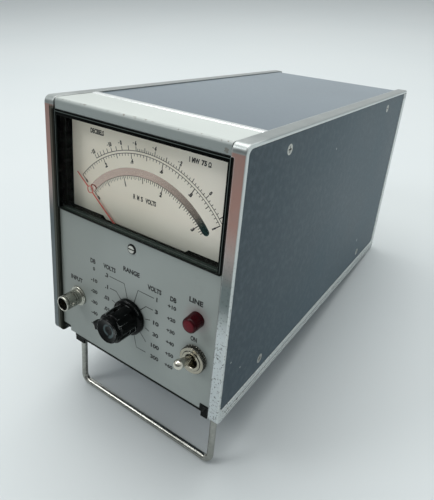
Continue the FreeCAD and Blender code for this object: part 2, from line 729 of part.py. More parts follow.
# Range knob: black moulding with a thin skirt, six flutes, an index rib and a dished face;
# brass insert and two grub screws
knob_face = -16.2
skirt_r = 10.9
skirt_front = -1.6
knob_back = 1.9
nut_room_r = 8.0
floor_y = -0.2
lobe_front = knob_face + 2.9
lobe_r = 8.9
core_front_r = 7.5
flute_r = 3.0
flute_place_r = 11.0
index_front = knob_face + 2.0
index_half = 2.1
index_r = 10.3
index_tip_r = 12.9
index_tip_back = index_front + 3.4
knob_index = 195.0
insert_r = 5.2
insert_front = -11.0
knob = turned(0, range_z, [
    (knob_face + 1.5, 0), (knob_face + 1.2, 3.4), (knob_face + 0.3, 6.5), (knob_face, 6.9),
    (knob_face, 7.1), (knob_face + 0.4, core_front_r), (lobe_front, core_front_r + 0.1),
    (lobe_front, lobe_r - 0.5), (lobe_front + 0.5, lobe_r - 0.1), (skirt_front, lobe_r + 0.2),
    (skirt_front + 0.7, skirt_r - 0.5), (skirt_front + 1.2, skirt_r - 0.1), (knob_back, skirt_r),
    (knob_back, nut_room_r), (floor_y, nut_room_r), (floor_y, 0),
])
flute = rod_y(0, range_z + flute_place_r, lobe_front - 1, skirt_front, flute_r)
for k in range(6):
    knob = knob.cut(turned_about_y(flute, 0, range_z, 120 - knob_index + 60 * k))
index_rib = prism_x([
    (index_front, range_z + 5), (index_front, range_z + index_tip_r - 0.6),
    (index_front + 0.6, range_z + index_tip_r), (index_tip_back, range_z + index_tip_r),
    (index_tip_back + 2.0, range_z + index_r), (skirt_front + 0.9, range_z + index_r),
    (skirt_front + 0.9, range_z + 5),
], -index_half, index_half)
knob = knob.fuse(turned_about_y(index_rib, 0, range_z, 90 - knob_index))
knob = knob.cut(rod_y(0, range_z, insert_front, 3, insert_r))
grub_y = -7.0
grub_r = 1.4
grub_at = FreeCAD.Vector(0, grub_y, range_z + shaft_r)
grub_hole = Part.makeCylinder(grub_r, 12, grub_at, FreeCAD.Vector(0, 0, 1))
grub_screw = Part.makeCylinder(grub_r, 3.6, grub_at, FreeCAD.Vector(0, 0, 1))
grub_angles = (90 - knob_index + 90, 90 - knob_index + 210)
insert = tube_y(0, range_z, insert_front, floor_y, insert_r, shaft_r)
grub_screws = []
for angle in grub_angles:
    knob = knob.cut(turned_about_y(grub_hole, 0, range_z, angle))
    insert = insert.cut(turned_about_y(grub_hole, 0, range_z, angle))
    grub_screws.append(turned_about_y(grub_screw, 0, range_z, angle))
pieces["range_knob"] = [knob.removeSplitter()]
pieces["knob_metal"] = [insert.removeSplitter()] + grub_screws

# Line lamp: red lens with a slightly domed face pushed through the panel, holder and neon bulb
lens_front = -5.6
lens_r = 4.5
stem_r = 3.95
bulb_r = 2.6
lens = turned(lamp_x, lamp_z, [
    (lens_front, 0), (lens_front + 0.1, 1.8), (lens_front + 0.3, 3.4), (lens_front + 0.8, 4.0),
    (lens_front + 1.3, 4.25), (lens_front + 2.4, 4.35), (panel_front - 0.8, lens_r), (panel_front, lens_r),
    (panel_front, stem_r), (9.0, stem_r), (9.0, 3.0), (lens_front + 2.4, 3.0), (lens_front + 1.5, 0),
])
pieces["lamp_lens"] = [lens]
holder = turned(lamp_x, lamp_z, [
    (panel_back, stem_r), (panel_back, 5.8), (18.0, 5.8), (18.0, bulb_r), (9.0, bulb_r), (9.0, stem_r),
])
pieces["lamp_holder"] = [holder]
bulb = rod_y(lamp_x, lamp_z, 3.0, 20.0, bulb_r)
bulb = bulb.fuse(Part.makeSphere(bulb_r, FreeCAD.Vector(lamp_x, 3.0, lamp_z)))
pieces["lamp_bulb"] = [bulb.removeSplitter()]

# Line switch: body behind the panel, threaded bushing with a knurled dress nut, bat-shaped lever on a pin
throw = 17.5
lever_pivot_y = 5.0
lever_length = 17.5
lever_end_r = 2.75
lever_pin_r = 1.0
toggle_bushing_r = 5.9
nut_r = 7.8
nut_front = -0.8
bush_front = -1.2
bush_hole_r = 4.0
ball_room_r = 4.2
body_half = 6.6
body_front = 6.0
body_half_height = 14.0
toggle_bushing = turned(toggle_x, toggle_z, [
    (bush_front, bush_hole_r + 0.3), (bush_front, 5.5), (bush_front + 0.4, toggle_bushing_r),
    (panel_back, toggle_bushing_r), (panel_back, 8.6), (body_front, 8.6), (body_front, ball_room_r),
    (2.2, ball_room_r), (1.9, bush_hole_r), (bush_front + 0.3, bush_hole_r),
])
sides = box(toggle_x - body_half, toggle_x + body_half, -9, 9, toggle_z - body_half_height,
            toggle_z + body_half_height)
toggle_bushing = toggle_bushing.common(sides)
dress_nut = turned(toggle_x, toggle_z, [
    (nut_front, toggle_bushing_r), (nut_front, nut_r - 0.4), (nut_front + 0.4, nut_r), (panel_front, nut_r),
    (panel_front, toggle_bushing_r),
])
groove_count = 30
for k in range(groove_count):
    angle = 2 * math.pi * k / groove_count
    dress_nut = dress_nut.cut(rod_y(toggle_x + (nut_r + 0.2) * math.cos(angle),
                                    toggle_z + (nut_r + 0.2) * math.sin(angle), -2, 2, 0.45))
body = box(toggle_x - body_half, toggle_x + body_half, body_front, 24, toggle_z - body_half_height,
           toggle_z + body_half_height)
cavity = box(toggle_x - 4.2, toggle_x + 4.2, 5, 19, toggle_z - 8, toggle_z + 8)
body = body.cut(cavity)
pin_hole = rod_x(toggle_x - 5.4, toggle_x + 5.4, lever_pivot_y, toggle_z, lever_pin_r + pin_clearance)
pieces["toggle_bushing"] = [toggle_bushing.cut(pin_hole), dress_nut]
terminals = [box(toggle_x - 2, toggle_x + 2, 24, 29, toggle_z + dz - 0.4, toggle_z + dz + 0.4)
             for dz in (-9, 0, 9)]
pieces["toggle_body"] = [joined([body] + terminals).cut(pin_hole)]
lever = joined([
    Part.makeSphere(3.3, FreeCAD.Vector(toggle_x, lever_pivot_y, toggle_z)),
    rod_y(toggle_x, toggle_z, lever_pivot_y - 5.0, lever_pivot_y, 1.5),
    Part.makeCone(1.5, lever_end_r, lever_length - 5.0,
                  FreeCAD.Vector(toggle_x, lever_pivot_y - 5.0, toggle_z), FreeCAD.Vector(0, -1, 0)),
    Part.makeSphere(lever_end_r, FreeCAD.Vector(toggle_x, lever_pivot_y - lever_length, toggle_z)),
    rod_y(toggle_x, toggle_z, lever_pivot_y, lever_pivot_y + 8.5, 1.3),
    rod_x(toggle_x - 5.1, toggle_x + 5.1, lever_pivot_y, toggle_z, lever_pin_r),
])
lever.rotate(FreeCAD.Vector(toggle_x, lever_pivot_y, toggle_z), FreeCAD.Vector(1, 0, 0), -throw)
pieces["toggle_lever"] = [lever]

# Bail bracket: black moulding under the panel with two hooks at the ends and two feet
cheek_thick = 1.7
bracket_front = 2.6
hook_low = 5.2
hook_top = 7.8
hook_in = panel_half - notch_width + 0.1
lip_low = 1.5
lip_left = 11.1 - post_inner
lip_right = post_inner - 4.5
foot_rear = 16.0
wall_front = 7.0
wall_back = bail_pivot_y - bail_r - 0.3
foot_slope = 3.3
foot_low = -7.0
room_top = -1.4
bracket = [
    box(fit - post_inner, post_inner - fit, panel_back, post_depth, hook_low, hook_top),
    box(lip_left, lip_right, bracket_front, post_depth, lip_low, panel_low),
    box(lip_left, lip_right, panel_back, post_depth, panel_low, hook_low),
    box(hook_in, lip_right, bracket_front, panel_back, panel_low, hook_low),
]
hook = plate_y(hook_in, post_inner - fit, bracket_front, panel_back, hook_low,
               panel_low + notch_height - 0.1, notch_r - 0.1)
bracket += both(hook)
left_cheek = bail_left_x - bail_r - 0.3 - cheek_thick
right_cheek = lip_right - 3.9
for cheek_left, wall_right in ((left_cheek, left_cheek + 7.6), (right_cheek, lip_right + 0.3)):
    cheek_right = cheek_left + cheek_thick
    slope_points = [(wall_front, lip_low), (foot_rear, lip_low), (foot_rear, foot_low - foot_slope),
                    (wall_front, foot_low)]
    foot = prism_x(slope_points, cheek_left, wall_right)
    room = box(cheek_right, wall_right + 1, wall_back, foot_rear + 1, foot_low - 2 * foot_slope, room_top)
    hole = rod_x(cheek_left - 1, cheek_right + 1, bail_pivot_y, bail_pivot_z, bail_r + pin_clearance)
    bracket.append(foot.cut(room).cut(hole))
pieces["bail_bracket"] = [joined(bracket)]

# Tilt bail: one length of bright wire, bent into a U with both ends turned to the left
pin_bend = 2.2
corner_bend = 5.0
pin_left_end = bail_left_x - 5.6
pin_right_end = bail_right_x - 8.6


def arc_edge(start, middle, end):
    return Part.Arc(FreeCAD.Vector(*start), FreeCAD.Vector(*middle), FreeCAD.Vector(*end)).toShape()


def bail_point(x, z):
    return (x, bail_pivot_y, z)


s = math.sqrt(0.5)
left_top = bail_point(bail_left_x - pin_bend, bail_pivot_z)
left_mid = bail_point(bail_left_x - pin_bend * (1 - s), bail_pivot_z - pin_bend * (1 - s))
left_low = bail_point(bail_left_x, bail_pivot_z - pin_bend)
low_a = bail_point(bail_left_x, bail_bar_z + corner_bend)
low_b = bail_point(bail_left_x + corner_bend * (1 - s), bail_bar_z + corner_bend * (1 - s))
low_c = bail_point(bail_left_x + corner_bend, bail_bar_z)
low_d = bail_point(bail_right_x - corner_bend, bail_bar_z)
low_e = bail_point(bail_right_x - corner_bend * (1 - s), bail_bar_z + corner_bend * (1 - s))
low_f = bail_point(bail_right_x, bail_bar_z + corner_bend)
right_low = bail_point(bail_right_x, bail_pivot_z - pin_bend)
right_mid = bail_point(bail_right_x - pin_bend * (1 - s), bail_pivot_z - pin_bend * (1 - s))
right_top = bail_point(bail_right_x - pin_bend, bail_pivot_z)
path = Part.Wire([
    Part.makeLine(FreeCAD.Vector(*bail_point(pin_left_end, bail_pivot_z)), FreeCAD.Vector(*left_top)),
    arc_edge(left_top, left_mid, left_low),
    Part.makeLine(FreeCAD.Vector(*left_low), FreeCAD.Vector(*low_a)),
    arc_edge(low_a, low_b, low_c),
    Part.makeLine(FreeCAD.Vector(*low_c), FreeCAD.Vector(*low_d)),
    arc_edge(low_d, low_e, low_f),
    Part.makeLine(FreeCAD.Vector(*low_f), FreeCAD.Vector(*right_low)),
    arc_edge(right_low, right_mid, right_top),
    Part.makeLine(FreeCAD.Vector(*right_top), FreeCAD.Vector(*bail_point(pin_right_end, bail_pivot_z))),
])
section = Part.Wire(Part.makeCircle(bail_r, FreeCAD.Vector(*bail_point(pin_left_end, bail_pivot_z)),
                                    FreeCAD.Vector(1, 0, 0)))
pieces["tilt_bail"] = [path.makePipeShell([section], True, False)]

# Main board on four pillars, with its parts
shield_back = 88.0
board_half = frame_inner - 11.7
board_front = shield_back + 8.0
board_back = case_depth - 67.4
pillar_top = 24.0
board_top = pillar_top + 1.6
pillar_r = 3.0
pillar_places = [(x, y) for x in (6.0 - board_half, board_half - 6.0)
                 for y in (board_front + 7, board_back - 7)]
board = box(-board_half, board_half, board_front, board_back, pillar_top, board_top)
for x, y in pillar_places:
    board = board.cut(rod_z(x, y, 20, 30, small_screw_r + pin_clearance))
pieces["main_board"] = [board]
pieces["board_pillars"] = [joined([
    rod_z(x, y, deck_top, pillar_top, pillar_r),
    rod_z(x, y, pillar_top, board_top, small_screw_r),
    rod_z(x, y, board_top, board_top + 1.2, 2.4),
]) for x, y in pillar_places]
capacitor_r = 7.5
capacitor_height = 28.0
pieces["board_capacitors"] = [rod_z(x, board_back - 22, board_top, board_top + capacitor_height, capacitor_r)
                              for x in (-32.0, -12.0, 8.0)]
row_pitch = 14.0
rows = max(1, int((board_back - board_front - 70.0) / row_pitch))
columns = [-30.0 + 12 * k for k in range(4)]
row_ys = [board_front + 22 + row_pitch * k for k in range(rows)]
transistors = [rod_z(x, y, board_top, board_top + 6, 2.4) for x in columns for y in row_ys]
resistors = [rod_x(x - 4, x + 4, y + row_pitch / 2, board_top + 1.4, 1.4) for x in columns for y in row_ys]
pieces["board_components"] = transistors + resistors
pieces["thermal_converter"] = [plate_y(20, board_half - 6, board_front + 24, board_front + 64, board_top,
                                       board_top + 16, 2.0)]

# Shield can round the input divider, between the input connector and the range switch
shield_left = 3.7 - frame_inner
shield_right = -22.0
shield_front = 26.0
shield_top = 48.0
shield_wall = 1.0
shield = box(shield_left, shield_right, shield_front, shield_back, deck_top, shield_top)
shield = shield.cut(box(shield_left + shield_wall, shield_right - shield_wall, shield_front + shield_wall,
                        shield_back - shield_wall, deck_top - 1, shield_top - shield_wall))
shield = shield.cut(rod_y(input_x, input_z, shield_front - 1, shield_front + 4, 3.0))
pieces["input_shield"] = [shield]

# Mains transformer on the deck
core_x1 = frame_inner - 7.7
core_x0 = core_x1 - 46.0
core_y0 = case_depth - 57.4
core_y1 = core_y0 + 22.0
core_top = 50.0
core_mid = (core_x0 + core_x1) / 2
leg_half = 7.0
iron = box(core_x0, core_x1, core_y0, core_y1, deck_top, core_top)
for side in (-1, 1):
    window_in = core_mid + side * leg_half
    window_out = core_mid + side * 16
    iron = iron.cut(box(min(window_in, window_out), max(window_in, window_out), core_y0 - 1, core_y1 + 1,
                        deck_top + leg_half, core_top - leg_half))
pieces["transformer_core"] = [iron]
coil_block = box(core_mid - 16, core_mid + 16, core_y0 - 9, core_y1 + 9, deck_top + leg_half,
                 core_top - leg_half)
coil_block = coil_block.makeFillet(4.0, edges_along(coil_block, FreeCAD.Vector(0, 0, 1)))
coil_block = coil_block.cut(box(core_mid - leg_half, core_mid + leg_half, core_y0, core_y1, 0, core_top))
pieces["transformer_coil"] = [coil_block]

# Mains inlet: moulded socket with three flat pins
flange_half_w = 25.0
flange_half_h = 12.0
flange_back = rear_panel_back + 3.0
inlet_front = rear_panel_back - 19.1
inlet = joined([
    plate_y(inlet_x - flange_half_w, inlet_x + flange_half_w, rear_panel_back, flange_back,
            inlet_z - flange_half_h, inlet_z + flange_half_h, 3.0),
    box(inlet_x - inlet_half_w + 0.2, inlet_x + inlet_half_w - 0.2, inlet_front, rear_panel_back,
        inlet_z - inlet_half_h + 0.2, inlet_z + inlet_half_h - 0.2),
])
well = plate_y(inlet_x - 12, inlet_x + 12, inlet_front + 3, flange_back + 1, inlet_z - 8.2,
               inlet_z + 8.2, 2.0)
inlet = inlet.cut(well)
inlet_pins = []
for dx, dz in ((-7.0, -2.0), (0.0, 2.0), (7.0, -2.0)):
    inlet = inlet.cut(box(inlet_x + dx - 1, inlet_x + dx + 1, inlet_front - 1, inlet_front + 4,
                          inlet_z + dz - 2, inlet_z + dz + 2))
    inlet_pins.append(box(inlet_x + dx - 1, inlet_x + dx + 1, inlet_front - 5, inlet_front + 18,
                          inlet_z + dz - 2, inlet_z + dz + 2))
for dx in (-inlet_screw_dx, inlet_screw_dx):
    inlet = inlet.cut(rod_y(inlet_x + dx, inlet_z, inlet_front, flange_back + 1,
                            small_screw_r + pin_clearance))
    rear_screws.append(pan_screw_y(inlet_x + dx, inlet_z, flange_back))
pieces["mains_inlet"] = [inlet]
pieces["inlet_pins"] = inlet_pins
pieces["rear_screws"] = rear_screws

# Fuse holder with its bayonet cap, which carries the fuse
holder_r = 6.2
holder_front = rear_panel_back - 33.1
plug_front = rear_panel_back - 7.1
fuse_body = turned(fuse_x, fuse_z, [
    (holder_front, 0), (holder_front, holder_r), (rear_panel_back, holder_r), (rear_panel_back, 8.0),
    (rear_panel_back + 2.0, 8.0), (rear_panel_back + 2.0, 4.6), (holder_front + 2, 4.6),
    (holder_front + 2, 0),
])
pieces["fuse_holder"] = [fuse_body]
cap_front = rear_panel_back + 2.3
cap_back = case_depth - 0.8
cap = joined([
    rod_y(fuse_x, fuse_z, cap_front, cap_back, 6.4),
    rod_y(fuse_x, fuse_z, plug_front, cap_front, 4.53),
])
for k in range(18):
    angle = 2 * math.pi * k / 18
    cap = cap.cut(rod_y(fuse_x + 6.6 * math.cos(angle), fuse_z + 6.6 * math.sin(angle), cap_front + 1,
                        cap_back + 1, 0.6))
cap = cap.cut(box(fuse_x - 5, fuse_x + 5, cap_back - 1.2, cap_back + 1, fuse_z - 0.6, fuse_z + 0.6))
pieces["fuse_cap"] = [cap]
pieces["fuse"] = [rod_y(fuse_x, fuse_z, plug_front - 20, plug_front, 2.6)]

# Voltage selector: slide switch behind the rear panel
selector_front = rear_panel_front - 12.1
selector_floor = selector_front + 5.0
selector_body = box(selector_x - 11, selector_x + 11, selector_front, rear_panel_front, selector_z - 6.5,
                    selector_z + 6.5)
selector_body = selector_body.cut(box(selector_x - 6.2, selector_x + 6.2, selector_floor,
                                      rear_panel_front + 1, selector_z - selector_half_h,
                                      selector_z + selector_half_h))
pieces["selector_body"] = [selector_body]
slider_x = selector_x - selector_throw / 2
pieces["selector_slider"] = [box(slider_x - 3.2, slider_x + 3.2, selector_floor + 0.3, rear_panel_back + 1.3,
                                 selector_z - 2.3, selector_z + 2.3)]

# Two insulated output sockets
socket_front = rear_panel_back - 13.1
socket_back = rear_panel_back + 5.9
sockets = []
for x in socket_xs:
    sockets.append(turned(x, socket_z, [
        (socket_front, 2.0), (socket_front, 3.9), (rear_panel_back, 3.9), (rear_panel_back, 6.0),
        (socket_back, 5.6), (socket_back, 2.0),
    ]))
pieces["output_sockets"] = sockets

# The instrument stands on the bar of the bail and on the rounded rear ends of the frames
rear_y = case_depth - frame_corner_r
reach_y = rear_y - bail_pivot_y
reach_z = frame_corner_r - bail_bar_z
tilt = math.degrees(math.atan2(reach_z, reach_y)
                    - math.asin((frame_corner_r - bail_r) / math.hypot(reach_y, reach_z)))


def stand(shape):
    placed = shape.copy()
    placed.rotate(FreeCAD.Vector(0, 0, 0), FreeCAD.Vector(1, 0, 0), -tilt)
    return placed


standing = {name: [stand(s) for s in shapes] for name, shapes in pieces.items()}
ends = Part.Compound(standing["range_knob"] + standing["side_frame_right"] + standing["tilt_bail"]
                     + standing["mains_inlet"])
extent = ends.optimalBoundingBox(False)
shift = FreeCAD.Vector(0, -(extent.YMin + extent.YMax) / 2, -extent.ZMin)
print("tilt", tilt, "shift", shift.y, shift.z)

for name, shapes in standing.items():
    for shape in shapes:
        shape.translate(shift)
    if len(shapes) == 1:
        result = shapes[0]
    else:
        result = Part.Compound(shapes)
    result.exportStep("parts/" + name + ".step")
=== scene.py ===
import math

import bpy
from mathutils import Matrix, Vector


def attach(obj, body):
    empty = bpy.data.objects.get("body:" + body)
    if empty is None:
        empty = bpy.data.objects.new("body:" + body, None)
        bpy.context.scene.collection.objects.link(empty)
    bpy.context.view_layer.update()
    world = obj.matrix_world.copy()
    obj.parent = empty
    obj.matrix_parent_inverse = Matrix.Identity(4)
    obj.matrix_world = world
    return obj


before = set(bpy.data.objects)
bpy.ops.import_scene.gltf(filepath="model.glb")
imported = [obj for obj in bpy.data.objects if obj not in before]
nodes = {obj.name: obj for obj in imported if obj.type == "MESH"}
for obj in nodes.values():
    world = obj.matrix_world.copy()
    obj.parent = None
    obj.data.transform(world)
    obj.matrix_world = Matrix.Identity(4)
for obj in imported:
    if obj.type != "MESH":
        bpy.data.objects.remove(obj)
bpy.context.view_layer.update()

# The view: a camera as far from the instrument and as high as the photographer's, and soft light
# that is strongest from above and behind. Shiny parts see a pale surround that is darker in front.
bpy.ops.object.select_all(action="DESELECT")
scene = bpy.context.scene
scene.view_settings.view_transform = "Standard"
camera_data = bpy.data.cameras.new("camera")
camera = bpy.data.objects.new("camera", camera_data)
scene.collection.objects.link(camera)
scene.camera = camera
camera.location = (0.155272, -0.274827, 0.271837)
camera.rotation_euler = (1.065939, 0.003501, 0.596523)
camera_data.sensor_fit = "HORIZONTAL"
camera_data.sensor_width = 36.0
camera_data.lens = 38.971
camera_data.shift_x = -0.0003
camera_data.shift_y = -0.1258
camera_data.clip_start = 0.01


class Value:
    """One socket inside a material or world; arithmetic on it adds Math nodes."""

    def __init__(self, tree, socket):
        self.tree = tree
        self.socket = socket

    def maths(self, operation, *others, first=None):
        node = self.tree.nodes.new("ShaderNodeMath")
        node.operation = operation
        operands = ([first] if first is not None else []) + [self] + list(others)
        for place, operand in enumerate(operands):
            if isinstance(operand, Value):
                self.tree.links.new(operand.socket, node.inputs[place])
            else:
                node.inputs[place].default_value = operand
        return Value(self.tree, node.outputs[0])

    def __add__(self, other):
        return self.maths("ADD", other)

    __radd__ = __add__

    def __mul__(self, other):
        return self.maths("MULTIPLY", other)

    __rmul__ = __mul__

    def __sub__(self, other):
        return self.maths("SUBTRACT", other)

    def __rsub__(self, other):
        return self.maths("SUBTRACT", first=other)

    def __truediv__(self, other):
        return self.maths("DIVIDE", other)

    def __pow__(self, other):
        return self.maths("POWER", other)

    def most(self, other):
        return self.maths("MAXIMUM", other)

    def from_point(self, other, here, there):
        """Distance of two coordinates, self and other, from a point."""
        return ((self - here) * (self - here) + (other - there) * (other - there)) ** 0.5

    def size(self):
        return self.maths("ABSOLUTE")

    def clamped(self):
        self.socket.node.use_clamp = True
        return self

    def ramp(self, start, end):
        """0 at start, 1 at end, straight between and flat beyond."""
        return ((self - start) / (end - start)).clamped()

    def near(self, centre, width, soft):
        """1 within width of centre, falling to 0 over soft."""
        return 1 - (self - centre).size().ramp(width, width + soft)

    def between(self, low, high, soft):
        return self.ramp(low - soft, low) * (1 - self.ramp(high, high + soft))

    def apart(self, step):
        """How far from the nearest multiple of step."""
        return ((self / step + 0.5).maths("FRACT") - 0.5).size() * step


def add_node(tree, kind, settings=None, out=0, **sockets):
    """A node of any kind; i3=... names a socket by its number, the others by name."""
    node = tree.nodes.new(kind)
    for setting, value in (settings or {}).items():
        setattr(node, setting, value)
    for name, value in sockets.items():
        socket = node.inputs[int(name[1:])] if name[1:].isdigit() else node.inputs[name.replace("_", " ")]
        if isinstance(value, Value):
            tree.links.new(value.socket, socket)
        elif isinstance(value, tuple) and len(value) == 3 and len(getattr(socket, "default_value", ())) == 4:
            socket.default_value = (*value, 1)
        else:
            socket.default_value = value
    return Value(tree, node.outputs[out])


def mixed(tree, mask, first, second):
    return add_node(tree, "ShaderNodeMix", {"data_type": "RGBA"}, out=2, i0=mask, i6=first, i7=second)


def shade(red, green, blue):
    """A colour as it shows on a screen, 0 to 255, in the light values that materials take."""
    return tuple(c / 3294.6 if c < 10.5 else ((c / 255 + 0.055) / 1.055) ** 2.4 for c in (red, green, blue))


def lamp(name, place, aim, size, power, colour=(1, 1, 1)):
    light = bpy.data.lights.new(name, "AREA")
    light.shape = "SQUARE"
    light.size = size
    light.energy = power
    light.color = colour
    thing = bpy.data.objects.new(name, light)
    scene.collection.objects.link(thing)
    thing.location = place
    thing.rotation_euler = (Vector(aim) - Vector(place)).to_track_quat("-Z", "Y").to_euler()


lamp("overhead", (-0.25, 0.35, 1.7), (0, 0, 0.1), 1.6, 28.0, (1.0, 0.99, 0.97))
lamp("window_side", (-0.9, -0.9, 1.3), (0, -0.1, 0.1), 0.45, 5.0)

world = bpy.data.worlds.new("surround")
scene.world = world
world.use_nodes = True
sky = world.node_tree
toward = add_node(sky, "ShaderNodeTexCoord", out="Generated")
split = sky.nodes.new("ShaderNodeSeparateXYZ")
sky.links.new(toward.socket, split.inputs[0])
side, ahead, up = [Value(sky, out) for out in split.outputs]
bright = (ahead * 0.8 + up * 0.75 - side * 0.25).ramp(-0.55, 0.5)
mirrored_room = mixed(sky, bright, (0.06, 0.065, 0.066), (0.85, 0.88, 0.88))
seen = add_node(sky, "ShaderNodeLightPath", out="Is Camera Ray")
shiny = add_node(sky, "ShaderNodeLightPath", out="Is Glossy Ray")
colour = mixed(sky, shiny, (0.41, 0.426, 0.433), mirrored_room)
colour = mixed(sky, seen, colour, shade(199, 205, 201))
sky.links.new(colour.socket, sky.nodes["Background"].inputs["Color"])


class Finish:
    """A material: one shader and the nodes that vary it over the surface."""

    def __init__(self, name, colour=(0.8, 0.8, 0.8), rough=0.5, metal=0.0, **fixed):
        self.material = bpy.data.materials.new(name)
        self.material.use_nodes = True
        self.tree = self.material.node_tree
        self.shader = self.tree.nodes["Principled BSDF"]
        self.shader.inputs["Base Color"].default_value = (*colour, 1)
        self.shader.inputs["Roughness"].default_value = rough
        self.shader.inputs["Metallic"].default_value = metal
        for socket, value in fixed.items():
            self.shader.inputs[socket.replace("_", " ")].default_value = value
        self.place = self.node("ShaderNodeTexCoord", out="Object")
        self.soft = None

    def node(self, kind, settings=None, out=0, **sockets):
        return add_node(self.tree, kind, settings, out, **sockets)

    def case(self):
        """Millimetres measured on the level case: x to the right, y back from its front, z up."""
        where = self.node("ShaderNodeMapping", Vector=self.place, Scale=(1000, 1000, 1000),
                          Rotation=(lean, 0, 0),
                          Location=tuple(lean_back.inverted() @ (-1000 * stand_at)))
        split = self.tree.nodes.new("ShaderNodeSeparateXYZ")
        self.tree.links.new(where.socket, split.inputs[0])
        return [Value(self.tree, out) for out in split.outputs]

    def noise(self, scale, detail=2.0, roughness=0.5, stretch=None):
        where = self.node("ShaderNodeMapping", Vector=self.place, Scale=stretch) if stretch else self.place
        return self.node("ShaderNodeTexNoise", out="Fac", Vector=where, Scale=scale, Detail=detail,
                         Roughness=roughness)

    def cells(self, scale):
        return self.node("ShaderNodeTexVoronoi", out="Distance", Vector=self.place, Scale=scale)

    def blend(self, mask, first, second):
        return mixed(self.tree, mask, first, second)

    def edges(self, radius):
        """Corners catch the light as if broken with a file; gives a mask of them."""
        self.soft = self.node("ShaderNodeBevel", {"samples": 6}, Radius=radius)
        flat = self.node("ShaderNodeNewGeometry", out="Normal")
        agree = self.node("ShaderNodeVectorMath", {"operation": "DOT_PRODUCT"}, out="Value",
                          i0=self.soft, i1=flat)
        self.feed("Normal", self.soft)
        return (1 - agree).ramp(0.01, 0.12)

    def feed(self, name, value):
        self.tree.links.new(value.socket, self.shader.inputs[name])

    def bump(self, height, distance):
        more = {"Normal": self.soft} if self.soft else {}
        self.feed("Normal", self.node("ShaderNodeBump", Height=height, Strength=1.0, Distance=distance,
                                      **more))

    def on(self, *names):
        for name in names:
            for slot in nodes[name].material_slots:
                slot.material = self.material


# The instrument leans back on its bail; case_place carries millimetres measured on the level case
# to where they are on the table.
lean = math.radians(9.07058637716686)
stand_at = Vector((0, -0.144380767, 0.043467145))
lean_back = Matrix.Rotation(-lean, 3, "X")
case_place = Matrix.Translation(stand_at) @ lean_back.to_4x4() @ Matrix.Scale(0.001, 4)

# Axes of the controls, in millimetres on the level case.
lamp_x, lamp_z = 45.8, 58.4
toggle_x, toggle_z = 46.2, 34.2
input_x, input_z = -43.5, 33.5
knob_z = 39.0
zero_screw_z = 81.9

# The table: one plain pale board, matt, with nothing on it but the instrument's soft shadow.
table = Finish("table_paint", rough=0.6)
table.feed("Base Color", table.blend(table.noise(3, 2), shade(203, 211, 213), shade(210, 216, 217)))
bpy.ops.mesh.primitive_plane_add(size=12, location=(0, 0, -0.0002))
floor = bpy.context.object
floor.name = "floor"
floor.data.materials.append(table.material)
bpy.ops.object.select_all(action="DESELECT")

# Side frames: two aluminium castings, machined on their faces and lacquered, that carry the whole case.
# The lacquer is pitted lower down. The brown at the top of the posts is a painted reflection, and the light
# outer sides and edges and the bands of light and shade on the posts and top faces are painted light.
cast = Finish("cast_frame", rough=0.34, metal=0.75)
edge_wear_and_glint = cast.edges(0.0007)
x, y, z = cast.case()
grain = cast.noise(1500, 3, 0.6, stretch=(1, 1, 0.25))
mottle = cast.noise(70, 4, 0.6)
front = 1 - y.ramp(2.0, 6.0)
specks = cast.noise(1000, 2, 0.5).ramp(0.60, 0.66) * (1 - z.ramp(60, 120)) * (0.35 + 0.65 * x.ramp(0, 1))
# Painted reflection: a brown band on the front faces of the posts, from mid height to the top.
painted_brown_reflection = z.ramp(84, 118) * (1 - z.ramp(150.0, 150.6)) * front
rim = x.size().ramp(64.5, 64.9)
beads = z.near(152.4, 0.12, 0.15).most(z.near(4.6, 0.12, 0.15)).most(z.near(2.2, 0.12, 0.15))
beads = beads * rim * y.ramp(6, 10)
colour = cast.blend(mottle.ramp(0.35, 0.7), shade(150, 156, 155), shade(180, 185, 183))
# Painted shade and light: a darker band round the frames at mid height, the right post lighter low down and
# the left post darker below its top.
colour = cast.blend(z.near(82, 6, 12) * 0.9, colour, shade(104, 115, 115))
colour = cast.blend((1 - z.ramp(56, 72)) * x.ramp(-1, 1) * 0.8, colour, shade(206, 213, 215))
colour = cast.blend((1 - x.ramp(-1, 1)) * (1 - z.ramp(80, 110)) * 0.9, colour, shade(86, 95, 98))
# Painted reflection: the brown band on the fronts of the posts.
colour = cast.blend(painted_brown_reflection * (0.55 + 0.5 * mottle), colour, shade(172, 126, 114))
# Painted highlight: the outer side faces of the frames are coloured lighter, less so along the side of the
# top rail.
colour = cast.blend(rim, colour, shade(210, 216, 215))
colour = cast.blend(rim * z.between(148.0, 152.3, 0.2) * y.ramp(14, 24) * 0.5, colour, shade(132, 138, 138))
# Painted shade: the top faces of the frames are coloured darker behind the front corner.
colour = cast.blend(z.ramp(153.5, 154.2) * y.ramp(8, 20) * 0.6, colour, shade(112, 119, 119))
# Edge wear and painted highlight: the edges are coloured near white.
colour = cast.blend(edge_wear_and_glint * 0.8, colour, shade(222, 225, 224))
# Painted shade: the inner side of the left post, beside the panel, is coloured dark, with darker lines at
# its seams.
painted_shade_inner_side = x.between(-60.8, -57.0, 0.4) * z.between(-1, 149, 1.5) * (1 - y.ramp(3, 5))
colour = cast.blend(painted_shade_inner_side * 0.9, colour, shade(62, 64, 54))
seams = x.near(-58.9, 0.15, 0.25) + x.near(-60.7, 0.1, 0.25)
colour = cast.blend(seams * painted_shade_inner_side * 0.8, colour, shade(34, 34, 28))
colour = cast.blend(beads.most(specks * 0.75), colour, shade(66, 66, 63))
cast.feed("Base Color", colour)
cast.feed("Roughness", 0.25 + 0.2 * mottle + 0.12 * specks)
cast.bump(grain * 0.6 - specks * 0.8 - beads * 3, 0.00005)
cast.on("side_frame_left", "side_frame_right")

